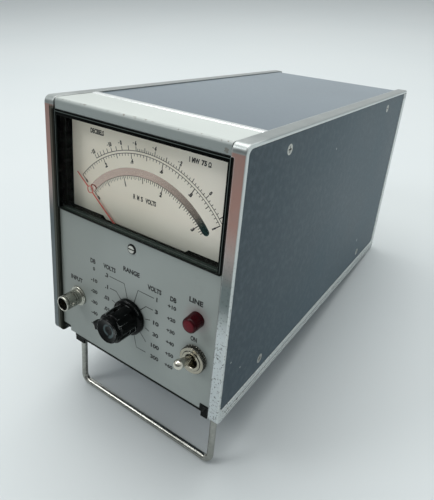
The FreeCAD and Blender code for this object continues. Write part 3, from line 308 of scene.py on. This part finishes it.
# Side covers: flat sheet with a slate-coloured plastic skin of a fine even grain, let into the
# frames. A few knocks have gone through to the pale metal.
slate = Finish("slate_skin", rough=0.5)
slate.edges(0.0004)
x, y, z = slate.case()
grain = slate.cells(1500)
drift = slate.noise(14, 3, 0.5)
wear = slate.noise(300, 5, 0.65)
colour = slate.blend(drift.ramp(0.3, 0.7), shade(52, 75, 86), shade(64, 87, 98))
# Painted shade: the skin is darker towards the front.
colour = slate.blend(1 - y.ramp(0, 150), colour, shade(23, 51, 64))
colour = slate.blend(slate.noise(260, 3, 0.6).ramp(0.45, 0.7) * 0.25, colour, shade(96, 112, 120))
for back, height, reach in ((115.0, 131.8, 1.6), (8.6, 37.1, 1.0), (19.7, 26.7, 1.3), (214.7, 31.2, 2.0)):
    spot = y.from_point(z, back, height) / reach + wear * 1.5
    colour = slate.blend((1 - spot.ramp(1.1, 1.25)) * x.ramp(0, 1), colour, shade(158, 164, 163))
colour = slate.blend(wear.ramp(0.72, 0.76) * drift.ramp(0.5, 0.6) * 0.5, colour, shade(150, 156, 158))
slate.feed("Base Color", colour)
slate.feed("Roughness", 0.40 + 0.2 * drift)
slate.bump(grain, 0.00005)
slate.on("side_cover_left", "side_cover_right")

# Top and bottom covers: painted aluminium sheet, a blue-grey enamel sprayed with a fine dry grain.
enamel = Finish("cover_enamel", rough=0.42)
enamel.edges(0.0005)
x, y, z = enamel.case()
drift = enamel.noise(10, 3, 0.5)
colour = enamel.blend(drift.ramp(0.3, 0.7), shade(99, 112, 121), shade(112, 125, 134))
colour = enamel.blend(enamel.noise(380, 3, 0.6).ramp(0.45, 0.7) * 0.35, colour, shade(92, 102, 112))
# Painted shade: the top cover is darker towards the front.
colour = enamel.blend((1 - y.ramp(30, 150)) * z.ramp(100, 101) * 0.6, colour, shade(84, 97, 106))
chip = x.from_point(y, -36.4, 184.5) + enamel.noise(900, 2)
colour = enamel.blend((1 - chip.ramp(1.1, 1.3)) * z.ramp(100, 101), colour, shade(58, 60, 62))
colour = enamel.blend(enamel.noise(170, 4, 0.6).ramp(0.74, 0.77) * 0.8, colour, shade(196, 200, 198))
enamel.feed("Base Color", colour)
enamel.feed("Roughness", 0.34 + 0.14 * drift)
enamel.bump(enamel.cells(1300) * 0.7 + enamel.noise(600, 2) * 0.5, 0.00006)
enamel.on("top_cover", "bottom_cover")

# Fasteners: steel screws, zinc plated; the cross recesses of the cover screws are painted near black as
# shade.
zinc = Finish("zinc_plate", rough=0.3, metal=1.0)
edge_wear_and_glint = zinc.edges(0.0002)
colour = zinc.blend(zinc.noise(700, 3), shade(150, 152, 148), shade(196, 197, 190))
# Painted highlight and wear: the edges are coloured near white.
zinc.feed("Base Color", zinc.blend(edge_wear_and_glint * 0.6, colour, shade(226, 226, 220)))
zinc.feed("Roughness", 0.22 + 0.25 * zinc.noise(400, 2))
zinc.bump(zinc.noise(3000, 2), 0.00001)
zinc.on("rear_screws", "board_pillars")

cover_screw = Finish("cover_screw_plate", rough=0.3, metal=1.0)
x, y, z = cover_screw.case()
recess = x.size().between(62.0, 64.45, 0.1)
colour = cover_screw.blend(cover_screw.noise(700, 3), shade(150, 152, 148), shade(196, 197, 190))
# Painted shade: the recesses are coloured near black and made not metallic.
cover_screw.feed("Base Color", cover_screw.blend(recess * 0.9, colour, shade(24, 25, 24)))
cover_screw.feed("Metallic", 1 - recess)
cover_screw.on("countersunk_screws")

# Zero screw: plated; its slot and the gap round its head are painted near black as shade.
set_screw = Finish("zero_screw_plate", rough=0.35, metal=0.6)
x, y, z = set_screw.case()
from_axis = x.from_point(z, 0.0, zero_screw_z)
# Painted shade: the slot and the gap round the head.
painted_shade = from_axis.ramp(2.05, 2.25).most(y.ramp(2.0, 2.2))
colour = set_screw.blend(set_screw.noise(700, 3), shade(176, 178, 172), shade(214, 214, 206))
set_screw.feed("Base Color", set_screw.blend(painted_shade, colour, shade(14, 16, 15)))
set_screw.feed("Metallic", (1 - painted_shade) * 0.6)
set_screw.on("zero_screw")

# Top trim and crossbar: a pale enamelled strip over the front of an aluminium extrusion, whose
# bright ridge shows behind it. The enamel is chipped along its front edge.
pale = Finish("pale_enamel", rough=0.3)
pale.edges(0.0006)
x, y, z = pale.case()
chips = pale.noise(420, 4, 0.6)
colour = pale.blend(pale.noise(30, 3), shade(184, 192, 188), shade(196, 203, 199))
# Painted shade: the front face of the trim is darker than its top.
colour = pale.blend(1 - y.ramp(1.0, 3.0), colour, shade(144, 152, 150))
# Painted shade: the top is darker towards the left.
colour = pale.blend((1 - x.ramp(-62, 0)) * y.ramp(3, 4) * 0.35, colour, shade(160, 168, 164))
edge_chips = chips.ramp(0.60, 0.64) * y.near(1.6, 0.7, 0.4) * z.ramp(153.2, 154.0)
nick = (x.from_point(z, 54.6, 150.2) + pale.noise(1100, 3, 0.6) * 3).near(0, 2.6, 0.2) * (1 - y.ramp(1, 2))
colour = pale.blend(edge_chips.most(nick * 0.7), colour, shade(104, 98, 88))
pale.feed("Base Color", colour)
pale.feed("Roughness", 0.26 + 0.12 * pale.noise(60, 2))
pale.bump(pale.noise(900, 2) - edge_chips, 0.00003)
pale.on("top_trim")

bright_bar = Finish("bright_extrusion", rough=0.2, metal=1.0)
bright_bar.edges(0.0004)
drawn = bright_bar.noise(900, 2, 0.5, stretch=(0.02, 1, 1))
bright_bar.feed("Base Color", bright_bar.blend(drawn, shade(205, 209, 209), shade(240, 243, 242)))
bright_bar.feed("Roughness", 0.16 + 0.2 * drawn)
bright_bar.bump(drawn, 0.00001)
bright_bar.on("top_crossbar")

# Front panel: aluminium sheet in grey semi-matt enamel, slightly handled round the controls.
panel_front = 2.5
panel_grey = Finish("panel_enamel", rough=0.45)
panel_grey.edges(0.0004)
x, y, z = panel_grey.case()
drift = panel_grey.noise(16, 3, 0.5)
colour = panel_grey.blend(drift.ramp(0.3, 0.7), shade(147, 155, 151), shade(157, 164, 161))
# Painted shade: darker at the left edge, beside the post, and over the left half.
painted_shade = (1 - x.ramp(-61, -55)) * 0.55 + (1 - x.ramp(-58, 0)) * 0.3
colour = panel_grey.blend(painted_shade, colour, shade(96, 98, 90))
# Painted shade: darker towards the bottom.
colour = panel_grey.blend((1 - z.ramp(8, 36)) * 0.3, colour, shade(124, 134, 132))
# Painted light: a red glow on the panel round the line lamp.
glow = 1 - x.from_point(z, lamp_x, lamp_z).ramp(4.6, 9.5)
colour = panel_grey.blend(glow * 0.25, colour, shade(168, 128, 130))
smudge = 1 - x.from_point(z, 52.5, 49.0).ramp(1.0, 5.5)
colour = panel_grey.blend(smudge * 0.2, colour, shade(112, 108, 100))
handled = panel_grey.noise(120, 4, 0.6).ramp(0.55, 0.75) * ((x - 46) * (x - 46) * 0.01 + 0.2).ramp(2.0, 0.2)
colour = panel_grey.blend(handled * 0.15, colour, shade(120, 122, 116))
panel_grey.feed("Base Color", colour)
panel_grey.feed("Roughness", 0.36 + 0.16 * drift)
panel_grey.bump(panel_grey.noise(1600, 2, 0.5), 0.000012)
panel_grey.on("front_panel")

# Panel marking: dark enamel ink, silk-screened. Each range has its value in volts and in decibels,
# and a line that leads to its stop round the knob.
ink = Finish("marking_ink", rough=0.5)
ink.feed("Base Color", ink.blend(ink.noise(900, 3), shade(8, 9, 9), shade(22, 23, 23)))
ink_depth = 0.02
marks = []


def one_piece(name, parts, finish, body="case"):
    """Joins parts to one object, closes its seams and lets it ride on a body."""
    bpy.ops.object.select_all(action="DESELECT")
    for part in parts:
        part.select_set(True)
    bpy.context.view_layer.objects.active = parts[0]
    bpy.ops.object.join()
    piece = bpy.context.object
    piece.name = name
    piece.data.name = name
    piece.data.materials.clear()
    piece.data.materials.append(finish.material)
    bpy.ops.object.mode_set(mode="EDIT")
    bpy.ops.mesh.select_all(action="SELECT")
    bpy.ops.mesh.remove_doubles(threshold=0.000001)
    bpy.ops.mesh.normals_make_consistent(inside=False)
    bpy.ops.object.mode_set(mode="OBJECT")
    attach(piece, body)
    bpy.ops.object.select_all(action="DESELECT")


def lettering(word, width, height, x, y, z, turn=0.0, bold=0.0):
    """A word on a face that looks forwards, fitted to a width and a height."""
    bpy.ops.object.text_add()
    text = bpy.context.object
    text.data.body = word
    text.data.extrude = 0.5
    text.data.offset = bold
    text.data.resolution_u = 3
    bpy.ops.object.convert(target="MESH")
    letters = bpy.context.object
    low = [min(v.co[k] for v in letters.data.vertices) for k in range(3)]
    high = [max(v.co[k] for v in letters.data.vertices) for k in range(3)]
    middle = Vector([(a + b) / 2 for a, b in zip(low, high)])
    fit = Matrix.Diagonal((width / (high[0] - low[0]), height / (high[1] - low[1]), 2 * ink_depth, 1))
    place = (Matrix.Translation((x, y, z)) @ Matrix.Rotation(math.radians(turn), 4, "Y")
             @ Matrix.Rotation(math.radians(90), 4, "X") @ fit @ Matrix.Translation(-middle))
    letters.data.transform(case_place @ place)
    return letters


def ruled_line(points, y, width):
    """A drawn line through points (x, z) on a face that looks forwards."""
    bpy.ops.object.select_all(action="DESELECT")
    curve = bpy.data.curves.new("line", "CURVE")
    curve.dimensions = "3D"
    curve.bevel_depth = width / 2
    curve.bevel_resolution = 1
    curve.use_fill_caps = True
    spline = curve.splines.new("POLY")
    spline.points.add(len(points) - 1)
    for point, (x, z) in zip(spline.points, points):
        point.co = (x, 0, z, 1)
    line = bpy.data.objects.new("line", curve)
    scene.collection.objects.link(line)
    line.select_set(True)
    bpy.context.view_layer.objects.active = line
    bpy.ops.object.convert(target="MESH")
    flat = Matrix.Diagonal((1, 2 * ink_depth / width, 1, 1))
    line.data.transform(case_place @ Matrix.Translation((0, y, 0)) @ flat)
    return line


leaders = (
    ((16.8, 58.1), (5.2, 58.1), (2.6, 49.0)),
    ((16.5, 50.3), (11.4, 50.3), (7.4, 46.4)),
    ((14.7, 42.9), (11.2, 41.9)),
    ((14.2, 35.1), (11.2, 36.1)),
    ((12.2, 26.8), (7.4, 31.5)),
    ((12.1, 19.5), (5.1, 19.5), (2.8, 28.4)),
)
for path in leaders:
    marks.append(ruled_line(path, panel_front, 0.5))
    marks.append(ruled_line([(-x, z) for x, z in path], panel_front, 0.5))
rows = (58.0, 50.2, 42.5, 34.8, 27.0, 19.2)
digit = 1.9
for row, left, left_db, right, right_db in zip(
    rows, (".3", ".1", ".03", ".01", ".003", ".001"), ("0", "-10", "-20", "-30", "-40", "-50"),
    ("1", "3", "10", "30", "100", "300"), ("+10", "+20", "+30", "+40", "+50", "+60"),
):
    right_width = digit * len(right) + (0.3 if right != "1" else -1.1)
    for word, width, height, place in (
        (left, digit * len(left) - 1.2, 2.8, -19.2), (right, right_width, 2.8, 18.9),
        (left_db, 5.5 if len(left_db) > 1 else 1.7, 2.5, -29.6), (right_db, 5.7, 2.5, 29.3),
    ):
        marks.append(lettering(word, width, height, place, panel_front, row, bold=0.05))
for word, width, x, z in (
    ("INPUT", 10.2, -44.9, 45.2), ("VOLTS", 9.8, -16.9, 63.5), ("VOLTS", 9.8, 16.9, 63.5),
    ("RANGE", 12.2, 0.0, 67.8), ("DB", 4.2, -30.4, 63.0), ("DB", 4.2, 29.9, 63.0),
    ("LINE", 8.7, 44.3, 68.3), ("ON", 4.1, 44.6, 45.4),
):
    marks.append(lettering(word, width, 3.1, x, panel_front, z, bold=0.05))
one_piece("panel_marking", marks, ink)

# Meter bezel and case: glossy black phenolic mouldings; the bezel's lower bar runs down behind the
# top of the panel, and the lower edge of the opening in the case dips between its raised ends.
black = Finish("black_moulding", rough=0.2, Specular_IOR_Level=0.03)
edge_wear_and_glint = black.edges(0.0004)
x, y, z = black.case()
dust = black.noise(260, 5, 0.6).ramp(0.5, 0.8)
# Painted highlight: thin light lines where a bead round the opening and an edge on the lower bar catch the
# light.
painted_bead_highlight = (z.near(147.05, 0.1, 0.12) * (1 - x.size().ramp(57.0, 57.2))).most(x.size().near(57.1, 0.1, 0.12))
painted_bead_highlight = painted_bead_highlight * (1 - y.ramp(0.9, 1.2)) * z.ramp(90, 91)
sill = z.between(88.0, 90.1, 0.2)
colour = black.blend(dust * 0.12, shade(2, 4, 3), shade(60, 66, 64))
# Dust and painted sheen: the top of the lower bar is coloured lighter.
colour = black.blend(sill * y.between(1.6, 5.6, 0.3) * 0.8, colour, shade(48, 58, 54))
colour = black.blend(painted_bead_highlight.most(sill * y.near(3.6, 0.15, 0.2) * 0.6), colour, shade(92, 100, 97))
# Painted highlight and wear: the edges are coloured grey.
black.feed("Base Color", black.blend(edge_wear_and_glint * 0.3, colour, shade(96, 104, 100)))
black.feed("Roughness", 0.16 + 0.3 * dust)
black.bump(black.noise(2200, 2), 0.000006)
black.on("meter_bezel", "meter_case")

# Dial: aluminium plate sprayed cream and printed black. The upper pair of lines carries 0 to 1 below
# and decibels above, the lower one 0 to 3, and between them lies a strip of mirror.
pivot_z = 70.6
dial_front = 11.4
scale_zero = 140.5
scale_turn = 102.3
zero_db = 0.866
top_of_three = 3.162
strip_radius = 51.85
cream = Finish("dial_cream", rough=0.55)
x, y, z = cream.case()
rise = z - pivot_z
radius = (x * x + rise * rise) ** 0.5
part = (scale_zero - rise.maths("ARCTAN2", x) * (180 / math.pi)) / scale_turn
run = radius * math.radians(scale_turn)


def ring(low, high):
    return radius.between(low, high, 0.06)


def ticks(reading, per_unit, step, low, high, half):
    return (1 - (reading.apart(step) * per_unit).ramp(half, half + 0.06)) * ring(low, high)


printed = ring(61.75, 62.05) * part.between(0.0, 1.0, 0.0005)
printed = printed.most(ring(63.3, 63.6) * part.between(0.154, 1.0, 0.0005))
for step, low, half in ((0.02, 60.5, 0.15), (0.1, 59.4, 0.2), (0.2, 58.9, 0.22)):
    printed = printed.most(ticks(part, run, step, low, 62.0, half) * part.between(-0.002, 1.002, 0.0005))
three = part * top_of_three
printed = printed.most(ring(49.5, 49.72) * part.between(0.0, 1.0, 0.0005))
for step, low, half in ((0.05, 48.1, 0.15), (0.1, 47.5, 0.17), (0.5, 46.2, 0.22), (1.0, 46.4, 0.22)):
    marked = ticks(three, run / top_of_three, step, low, 49.7, half)
    printed = printed.most(marked * part.between(-0.002, 1.0, 0.0005))
decibels = (part.most(0.01) / zero_db).maths("LOGARITHM", 10.0) * 20
per_decibel = run * part * (math.log(10) / 20)
for step, high, half, least in ((1.0, 65.9, 0.2, -15.1), (0.2, 64.8, 0.15, -6.1)):
    marked = ticks(decibels, per_decibel, step, 63.4, high, half)
    printed = printed.most(marked * decibels.between(least, 1.1, 0.01))
strip = ring(49.75, 53.95) * part.between(0.004, 0.998, 0.0004)
for end in (scale_zero - 0.4, scale_zero - scale_turn + 0.2):
    end_x = strip_radius * math.cos(math.radians(end))
    end_z = strip_radius * math.sin(math.radians(end))
    strip = strip.most(1 - x.from_point(rise, end_x, end_z).ramp(2.1, 2.16))
age = cream.noise(22, 3, 0.5)
colour = cream.blend(age.ramp(0.3, 0.7), shade(233, 225, 207), shade(240, 233, 216))
# Painted light: the dial is lighter towards the right.
colour = cream.blend(x.ramp(0, 50) * 0.8, colour, shade(255, 249, 236))
# Painted shade: greener and darker towards the bottom, under the bezel.
colour = cream.blend((1 - z.ramp(86, 104)) * 0.55, colour, shade(194, 208, 194))
# Painted reflection: the mirror strip darkens towards the right and is near black at its end.
painted_mirror_reflection = cream.blend(part.ramp(0.55, 0.95), shade(186, 166, 155), shade(96, 90, 82))
painted_mirror_reflection = cream.blend(part.ramp(0.90, 0.97), painted_mirror_reflection, shade(30, 46, 44))
colour = cream.blend(strip, colour, painted_mirror_reflection)
colour = cream.blend(printed, colour, shade(22, 21, 20))
cream.feed("Base Color", colour)
cream.feed("Metallic", strip * (1 - printed))
cream.feed("Roughness", 0.55 - strip * (1 - printed) * 0.49)
cream.on("dial_plate")

figures = []


def dial_figure(word, width, height, reading, distance, bold=0.07):
    angle = scale_zero - scale_turn * reading
    place_x = distance * math.cos(math.radians(angle))
    place_z = pivot_z + distance * math.sin(math.radians(angle))
    figures.append(lettering(word, width, height, place_x, dial_front, place_z, turn=90 - angle, bold=bold))


for word, reading in (("0", 0.0), (".2", 0.2), (".4", 0.4), (".6", 0.6), (".8", 0.8), ("1", 1.0)):
    dial_figure(word, 0.8 if word == "1" else 0.8 * len(word) + 0.5, 2.7, reading, 57.6)
for word, reading in (("0", 0.0), ("1", 1.0), ("2", 2.0), ("3", 3.0)):
    dial_figure(word, 0.7 if word == "1" else 1.5, 2.7, reading / top_of_three, 45.0)
for level in (-15, -10, -8, -6, -4, -2, 0):
    reading = zero_db * 10 ** (level / 20)
    digits = str(abs(level))
    width = 1.25 * len(digits) - (0.3 if digits[0] == "1" else 0.0)
    dial_figure(digits, width, 2.6, reading, 67.6)
    if level < 0:
        dash = reading - math.degrees((width / 2 + 1.0) / 67.6) / scale_turn
        dial_figure("-", 0.9, 0.4, dash, 67.6, bold=0.0)
figures.append(lettering("DECIBELS", 10.4, 2.9, -35.7, dial_front, 138.0, bold=0.05))
figures.append(lettering("1 MW", 6.2, 2.7, 30.8, dial_front, 137.7, bold=0.05))
figures.append(lettering("75", 3.2, 2.7, 36.6, dial_front, 137.7, bold=0.05))
figures.append(lettering("Ω", 1.8, 2.7, 39.9, dial_front, 137.7, bold=0.05))
for letter, place in (("R", -7.2), ("M", -4.5), ("S", -1.8)):
    figures.append(lettering(letter, 1.6, 2.9, place, dial_front, 107.9, bold=0.04))
figures.append(lettering("VOLTS", 7.4, 2.9, 4.4, dial_front, 107.9, bold=0.05))
dial_ink = Finish("dial_ink", rough=0.6)
dial_ink.feed("Base Color", dial_ink.blend(dial_ink.noise(900, 3), shade(14, 13, 12), shade(28, 27, 25)))
one_piece("dial_figures", figures, dial_ink)

# Pointer: a pressed aluminium blade painted red, seen edge on over the mirror.
red = Finish("pointer_red", rough=0.45)
red.feed("Base Color", red.blend(red.noise(500, 2), shade(196, 88, 76), shade(216, 116, 102)))
red.on("pointer")

# Meter window: a clear moulded sheet, let into the bezel. It lets the light through and reflects
# a little of the room.
clear = Finish("clear_window", (1, 1, 1), rough=0.02, metal=1.0)
open_sheet = clear.node("ShaderNodeBsdfTransparent", Color=(1.0, 1.0, 1.0))
sheet = clear.tree.nodes.new("ShaderNodeMixShader")
facing = clear.node("ShaderNodeLayerWeight", out="Facing", Blend=0.5)
clear.tree.links.new((facing ** 5.0 * 0.12 + 0.001).socket, sheet.inputs[0])
clear.tree.links.new(open_sheet.socket, sheet.inputs[1])
clear.tree.links.new(clear.shader.outputs[0], sheet.inputs[2])
clear.tree.links.new(sheet.outputs[0], clear.tree.nodes["Material Output"].inputs["Surface"])
clear.on("meter_window")

# Parts just behind the panel: moulded or painted dull black.
dull = Finish("dull_black", rough=0.4)
dull.edges(0.0002)
dull.feed("Base Color", dull.blend(dull.noise(500, 3), shade(22, 23, 23), shade(44, 45, 44)))
dull.bump(dull.noise(2500, 2), 0.00001)
dull.on("lamp_holder", "toggle_body", "thermal_converter")

# Input connector: turned brass shell, dull nickel plated, with bayonet lugs and turned grooves;
# white fluorocarbon insulator and a gilt contact.
nickel = Finish("dull_nickel", rough=0.22, metal=1.0)
edge_wear_and_glint = nickel.edges(0.0003)
x, y, z = nickel.case()
tarnish = nickel.noise(240, 4, 0.6)
bore = x.from_point(z, input_x, input_z)
colour = nickel.blend(tarnish.ramp(0.3, 0.7), shade(140, 141, 132), shade(186, 187, 177))
# Painted shade: the inside of the bore is coloured dark.
colour = nickel.blend((1 - bore.ramp(4.0, 4.2)) * y.ramp(-9.9, -9.0), colour, shade(40, 40, 37))
groove = y.near(-8.3, 0.16, 0.12).most(y.near(-3.0, 0.2, 0.12)).most(y.near(-1.4, 0.12, 0.12))
groove = groove * x.ramp(-30, -34)
colour = nickel.blend(groove * 0.7, colour, shade(58, 54, 48))
# Painted highlight and wear: the edges are coloured near white.
nickel.feed("Base Color", nickel.blend(edge_wear_and_glint * 0.8, colour, shade(236, 232, 220)))
nickel.feed("Roughness", 0.14 + 0.22 * tarnish)
nickel.bump(groove * -4 + nickel.noise(2200, 2) * 0.3, 0.00006)
nickel.on("input_shell", "panel_nuts")

ptfe = Finish("white_insulator", rough=0.4)
ptfe.feed("Base Color", ptfe.blend(ptfe.noise(300, 3), shade(120, 119, 110), shade(146, 144, 134)))
ptfe.on("input_insulator")

brass = Finish("brass", rough=0.3, metal=1.0)
turned = brass.noise(700, 3, 0.6)
brass.feed("Base Color", brass.blend(turned, shade(176, 142, 78), shade(214, 182, 112)))
brass.feed("Roughness", 0.2 + 0.25 * turned)
brass.on("meter_bridges", "zero_arm", "input_contact", "knob_metal", "inlet_pins")

# Range knob: glossy black phenolic, moulded with a thin skirt, six flutes and an index rib that
# ends in a white dot. Its front is dished.
knob = Finish("knob_phenolic", rough=0.12, Specular_IOR_Level=0.10)
edge_wear_and_glint = knob.edges(0.0004)
x, y, z = knob.case()
index = math.radians(195.0)
along = x * math.cos(index) + (z - knob_z) * math.sin(index)
across = (z - knob_z) * math.cos(index) - x * math.sin(index)
tip = along.ramp(12.0, 12.1) * across.ramp(-1.3, 0.0) * y.between(-14.3, -10.9, 0.1)
dot = tip * (1 - (1 - along.ramp(12.4, 12.5)) * (1 - across.size().ramp(1.7, 1.8)) * y.ramp(-14.0, -13.9))
from_axis = x.from_point(z, 0.0, knob_z)
# Painted reflection: two light crescents on the dished face.
painted_crescents = from_axis.near(2.9, 0.3, 0.6) * (1 - x.ramp(-0.5, 0.5))
painted_crescents = painted_crescents.most(from_axis.near(3.8, 0.4, 0.7) * x.ramp(0.0, 1.5)) * (1 - y.ramp(-15.0, -14.4))
dust = knob.noise(320, 5, 0.6).ramp(0.55, 0.8)
colour = knob.blend(dust * 0.15, shade(3, 5, 5), shade(56, 60, 58))
colour = knob.blend(painted_crescents * 0.7, colour, shade(82, 98, 100))
# Painted highlight, with some wear: light strokes along some edges.
colour = knob.blend(edge_wear_and_glint * knob.noise(190, 2).ramp(0.5, 0.6) * 0.7, colour, shade(190, 198, 196))
knob.feed("Base Color", knob.blend(dot * 0.85, colour, shade(214, 216, 210)))
knob.feed("Roughness", 0.10 + 0.3 * dust + 0.3 * dot)
knob.bump(knob.noise(900, 2), 0.00001)
knob.on("range_knob")

# Line lamp: a dark red translucent plastic lens over a neon bulb, moulded with fine rings inside.
lens = Finish("lens_red", rough=0.2, Specular_IOR_Level=0.15)
lens.edges(0.0005)
x, y, z = lens.case()
from_axis = x.from_point(z, lamp_x, lamp_z)
face = (1 - y.ramp(-5.4, -5.2)) * (1 - from_axis.ramp(3.3, 3.6))
rings = from_axis.apart(0.9).ramp(0.0, 0.45)
rib = y.near(-4.2, 0.12, 0.2).most(y.near(0.2, 0.3, 0.2))
colour = lens.blend(face * (0.6 + 0.4 * rings), shade(48, 1, 7), shade(108, 14, 30))
colour = lens.blend(rib * 0.6, colour, shade(24, 3, 8))
lens.feed("Base Color", lens.blend(lens.noise(400, 3) * 0.4, colour, shade(54, 5, 14)))
lens.bump(rings * face, 0.00003)
lens.on("lamp_lens")

bulb_glass = Finish("bulb_glass", rough=0.08)
colour = bulb_glass.blend(bulb_glass.noise(500, 2), shade(214, 190, 170), shade(232, 222, 210))
bulb_glass.feed("Base Color", colour)
bulb_glass.on("lamp_bulb", "fuse")

# Line switch: threaded bushing, knurled dress nut and bat lever, all bright nickel on brass.
plate = Finish("bright_nickel", rough=0.1, metal=1.0)
edge_wear_and_glint = plate.edges(0.0003)
x, y, z = plate.case()
from_axis = x.from_point(z, toggle_x, toggle_z)
flat = y.between(-1.4, 2.6, 0.2)
seam = from_axis.near(5.75, 0.14, 0.15) * flat
knurl = from_axis.ramp(7.3, 7.6) * flat
haze = plate.noise(260, 4, 0.6)
colour = plate.blend(haze.ramp(0.3, 0.7), shade(190, 187, 175), shade(222, 219, 207))
colour = plate.blend(flat * 0.65, colour, shade(132, 126, 108))
colour = plate.blend(seam.most(knurl * 0.9), colour, shade(30, 32, 27))
# Painted highlight and wear: the edges are coloured near white.
plate.feed("Base Color", plate.blend(edge_wear_and_glint * 0.6, colour, shade(246, 242, 232)))
plate.feed("Roughness", 0.13 + 0.18 * haze)
plate.bump(haze * 0.2 - seam, 0.00005)
plate.on("toggle_bushing", "toggle_lever")

# Bail and its bracket: bright plated steel wire, bent cold, that turns in two feet of a black
# moulding hooked over the lower corners of the panel.
wire = Finish("bright_wire", rough=0.12, metal=1.0)
drawn = wire.noise(420, 3, 0.5)
colour = wire.blend(drawn.ramp(0.3, 0.7), shade(150, 151, 146), shade(172, 173, 167))
colour = wire.blend(wire.noise(60, 3, 0.6).ramp(0.5, 0.75) * 0.3, colour, shade(120, 116, 106))
wire.feed("Base Color", colour)
wire.feed("Roughness", 0.2 + 0.08 * drawn)
wire.bump(drawn, 0.00001)
wire.on("tilt_bail")

bracket = Finish("bracket_moulding", rough=0.3, Specular_IOR_Level=0.06)
edge_wear_and_glint = bracket.edges(0.0004)
colour = bracket.blend(bracket.noise(200, 4), shade(5, 7, 6), shade(20, 24, 22))
# Painted highlight and wear: the edges are coloured grey.
bracket.feed("Base Color", bracket.blend(edge_wear_and_glint * 0.4, colour, shade(86, 92, 90)))
bracket.bump(bracket.noise(1500, 2), 0.00002)
bracket.on("bail_bracket")

# Movement, inside the meter: cast magnet, soft iron shoes, copper coil and blued springs.
iron = Finish("bare_iron", rough=0.4, metal=1.0)
iron.feed("Base Color", iron.blend(iron.noise(300, 4), shade(128, 126, 122), shade(158, 156, 150)))
iron.bump(iron.noise(1800, 2), 0.00002)
iron.on("meter_irons", "meter_magnet")

spring_steel = Finish("blued_steel", rough=0.25, metal=1.0)
colour = spring_steel.blend(spring_steel.noise(600, 2), shade(96, 104, 128), shade(128, 130, 138))
spring_steel.feed("Base Color", colour)
spring_steel.on("coil_staffs")

copper = Finish("coil_copper", rough=0.3, metal=0.9)
turns = copper.noise(2600, 1, 0.5, stretch=(0.1, 1, 1))
copper.feed("Base Color", copper.blend(turns, shade(150, 84, 52), shade(198, 124, 82)))
copper.bump(turns, 0.00003)
copper.on("moving_coil")

# Range switch, behind the panel: plated steel frame and shaft, brown laminate wafers.
switch_steel = Finish("switch_steel", rough=0.3, metal=1.0)
switch_steel.edges(0.0002)
colour = switch_steel.blend(switch_steel.noise(400, 3), shade(152, 152, 146), shade(184, 184, 176))
switch_steel.feed("Base Color", colour)
switch_steel.bump(switch_steel.noise(2400, 2), 0.00001)
switch_steel.on("switch_frame", "switch_rods", "range_shaft", "input_shield")

laminate = Finish("brown_laminate", rough=0.45)
layers = laminate.noise(900, 2, 0.5, stretch=(1, 12, 1))
laminate.feed("Base Color", laminate.blend(layers, shade(118, 78, 44), shade(142, 98, 58)))
laminate.bump(layers, 0.00002)
laminate.on("switch_wafers", "switch_rotors")

# Inside of the case: passivated deck and rear panel, and a green board with its parts.
passivated = Finish("passivated_sheet", rough=0.36, metal=0.85)
passivated.edges(0.0003)
rolled = passivated.noise(500, 3, 0.6, stretch=(1, 0.05, 1))
tint = passivated.noise(20, 3, 0.6)
colour = passivated.blend(tint.ramp(0.35, 0.7), shade(182, 184, 176), shade(200, 198, 178))
passivated.feed("Base Color", passivated.blend(rolled * 0.4, colour, shade(160, 164, 160)))
passivated.feed("Roughness", 0.28 + 0.2 * rolled)
passivated.bump(rolled, 0.00002)
passivated.on("chassis_deck", "rear_panel", "transformer_core")

board = Finish("board_laminate", rough=0.35)
x, y, z = board.case()
tracks = board.noise(160, 1, 0.4).near(0.5, 0.03, 0.02)
colour = board.blend(board.noise(60, 3), shade(52, 88, 44), shade(66, 104, 54))
board.feed("Base Color", board.blend(tracks * 0.7, colour, shade(96, 140, 78)))
board.bump(tracks, 0.00004)
board.on("main_board")

lacquered = Finish("lacquered_parts", rough=0.3)
x, y, z = lacquered.case()
bands = (x / 12 + 0.37).maths("FRACT").near(0.5, 0.03, 0.01)
bands = bands.most((x / 12 + 0.25).maths("FRACT").near(0.5, 0.03, 0.01))
colour = lacquered.blend(lacquered.noise(120, 2), shade(84, 52, 38), shade(112, 76, 54))
lacquered.feed("Base Color", lacquered.blend(bands, colour, shade(196, 150, 60)))
lacquered.on("board_components")

can = Finish("drawn_can", rough=0.28, metal=1.0)
can.edges(0.0004)
drawn = can.noise(900, 2, 0.5, stretch=(1, 1, 0.05))
can.feed("Base Color", can.blend(drawn, shade(188, 190, 190), shade(216, 218, 217)))
can.bump(drawn, 0.00001)
can.on("board_capacitors")

tape = Finish("winding_tape", rough=0.5)
x, y, z = tape.case()
laps = z.apart(4.0).ramp(0.0, 0.25)
colour = tape.blend(tape.noise(80, 3), shade(186, 160, 84), shade(204, 180, 104))
tape.feed("Base Color", tape.blend(laps, shade(132, 108, 52), colour))
tape.bump(laps, 0.00008)
tape.on("transformer_coil")

# Rear fittings: black phenolic inlet, fuse holder with its knurled cap, voltage selector with a red
# slide, and two output sockets.
fitting = Finish("fitting_phenolic", rough=0.28)
fitting.edges(0.0003)
fitting.feed("Base Color", fitting.blend(fitting.noise(260, 4), shade(20, 20, 20), shade(40, 40, 39)))
fitting.feed("Roughness", 0.22 + 0.2 * fitting.noise(200, 3))
fitting.bump(fitting.noise(1800, 2), 0.000012)
fitting.on("mains_inlet", "fuse_holder", "fuse_cap", "selector_body", "output_sockets")

slide = Finish("slide_red", rough=0.35)
slide.edges(0.0002)
slide.feed("Base Color", slide.blend(slide.noise(300, 3), shade(160, 40, 32), shade(182, 56, 46)))
slide.on("selector_slider")
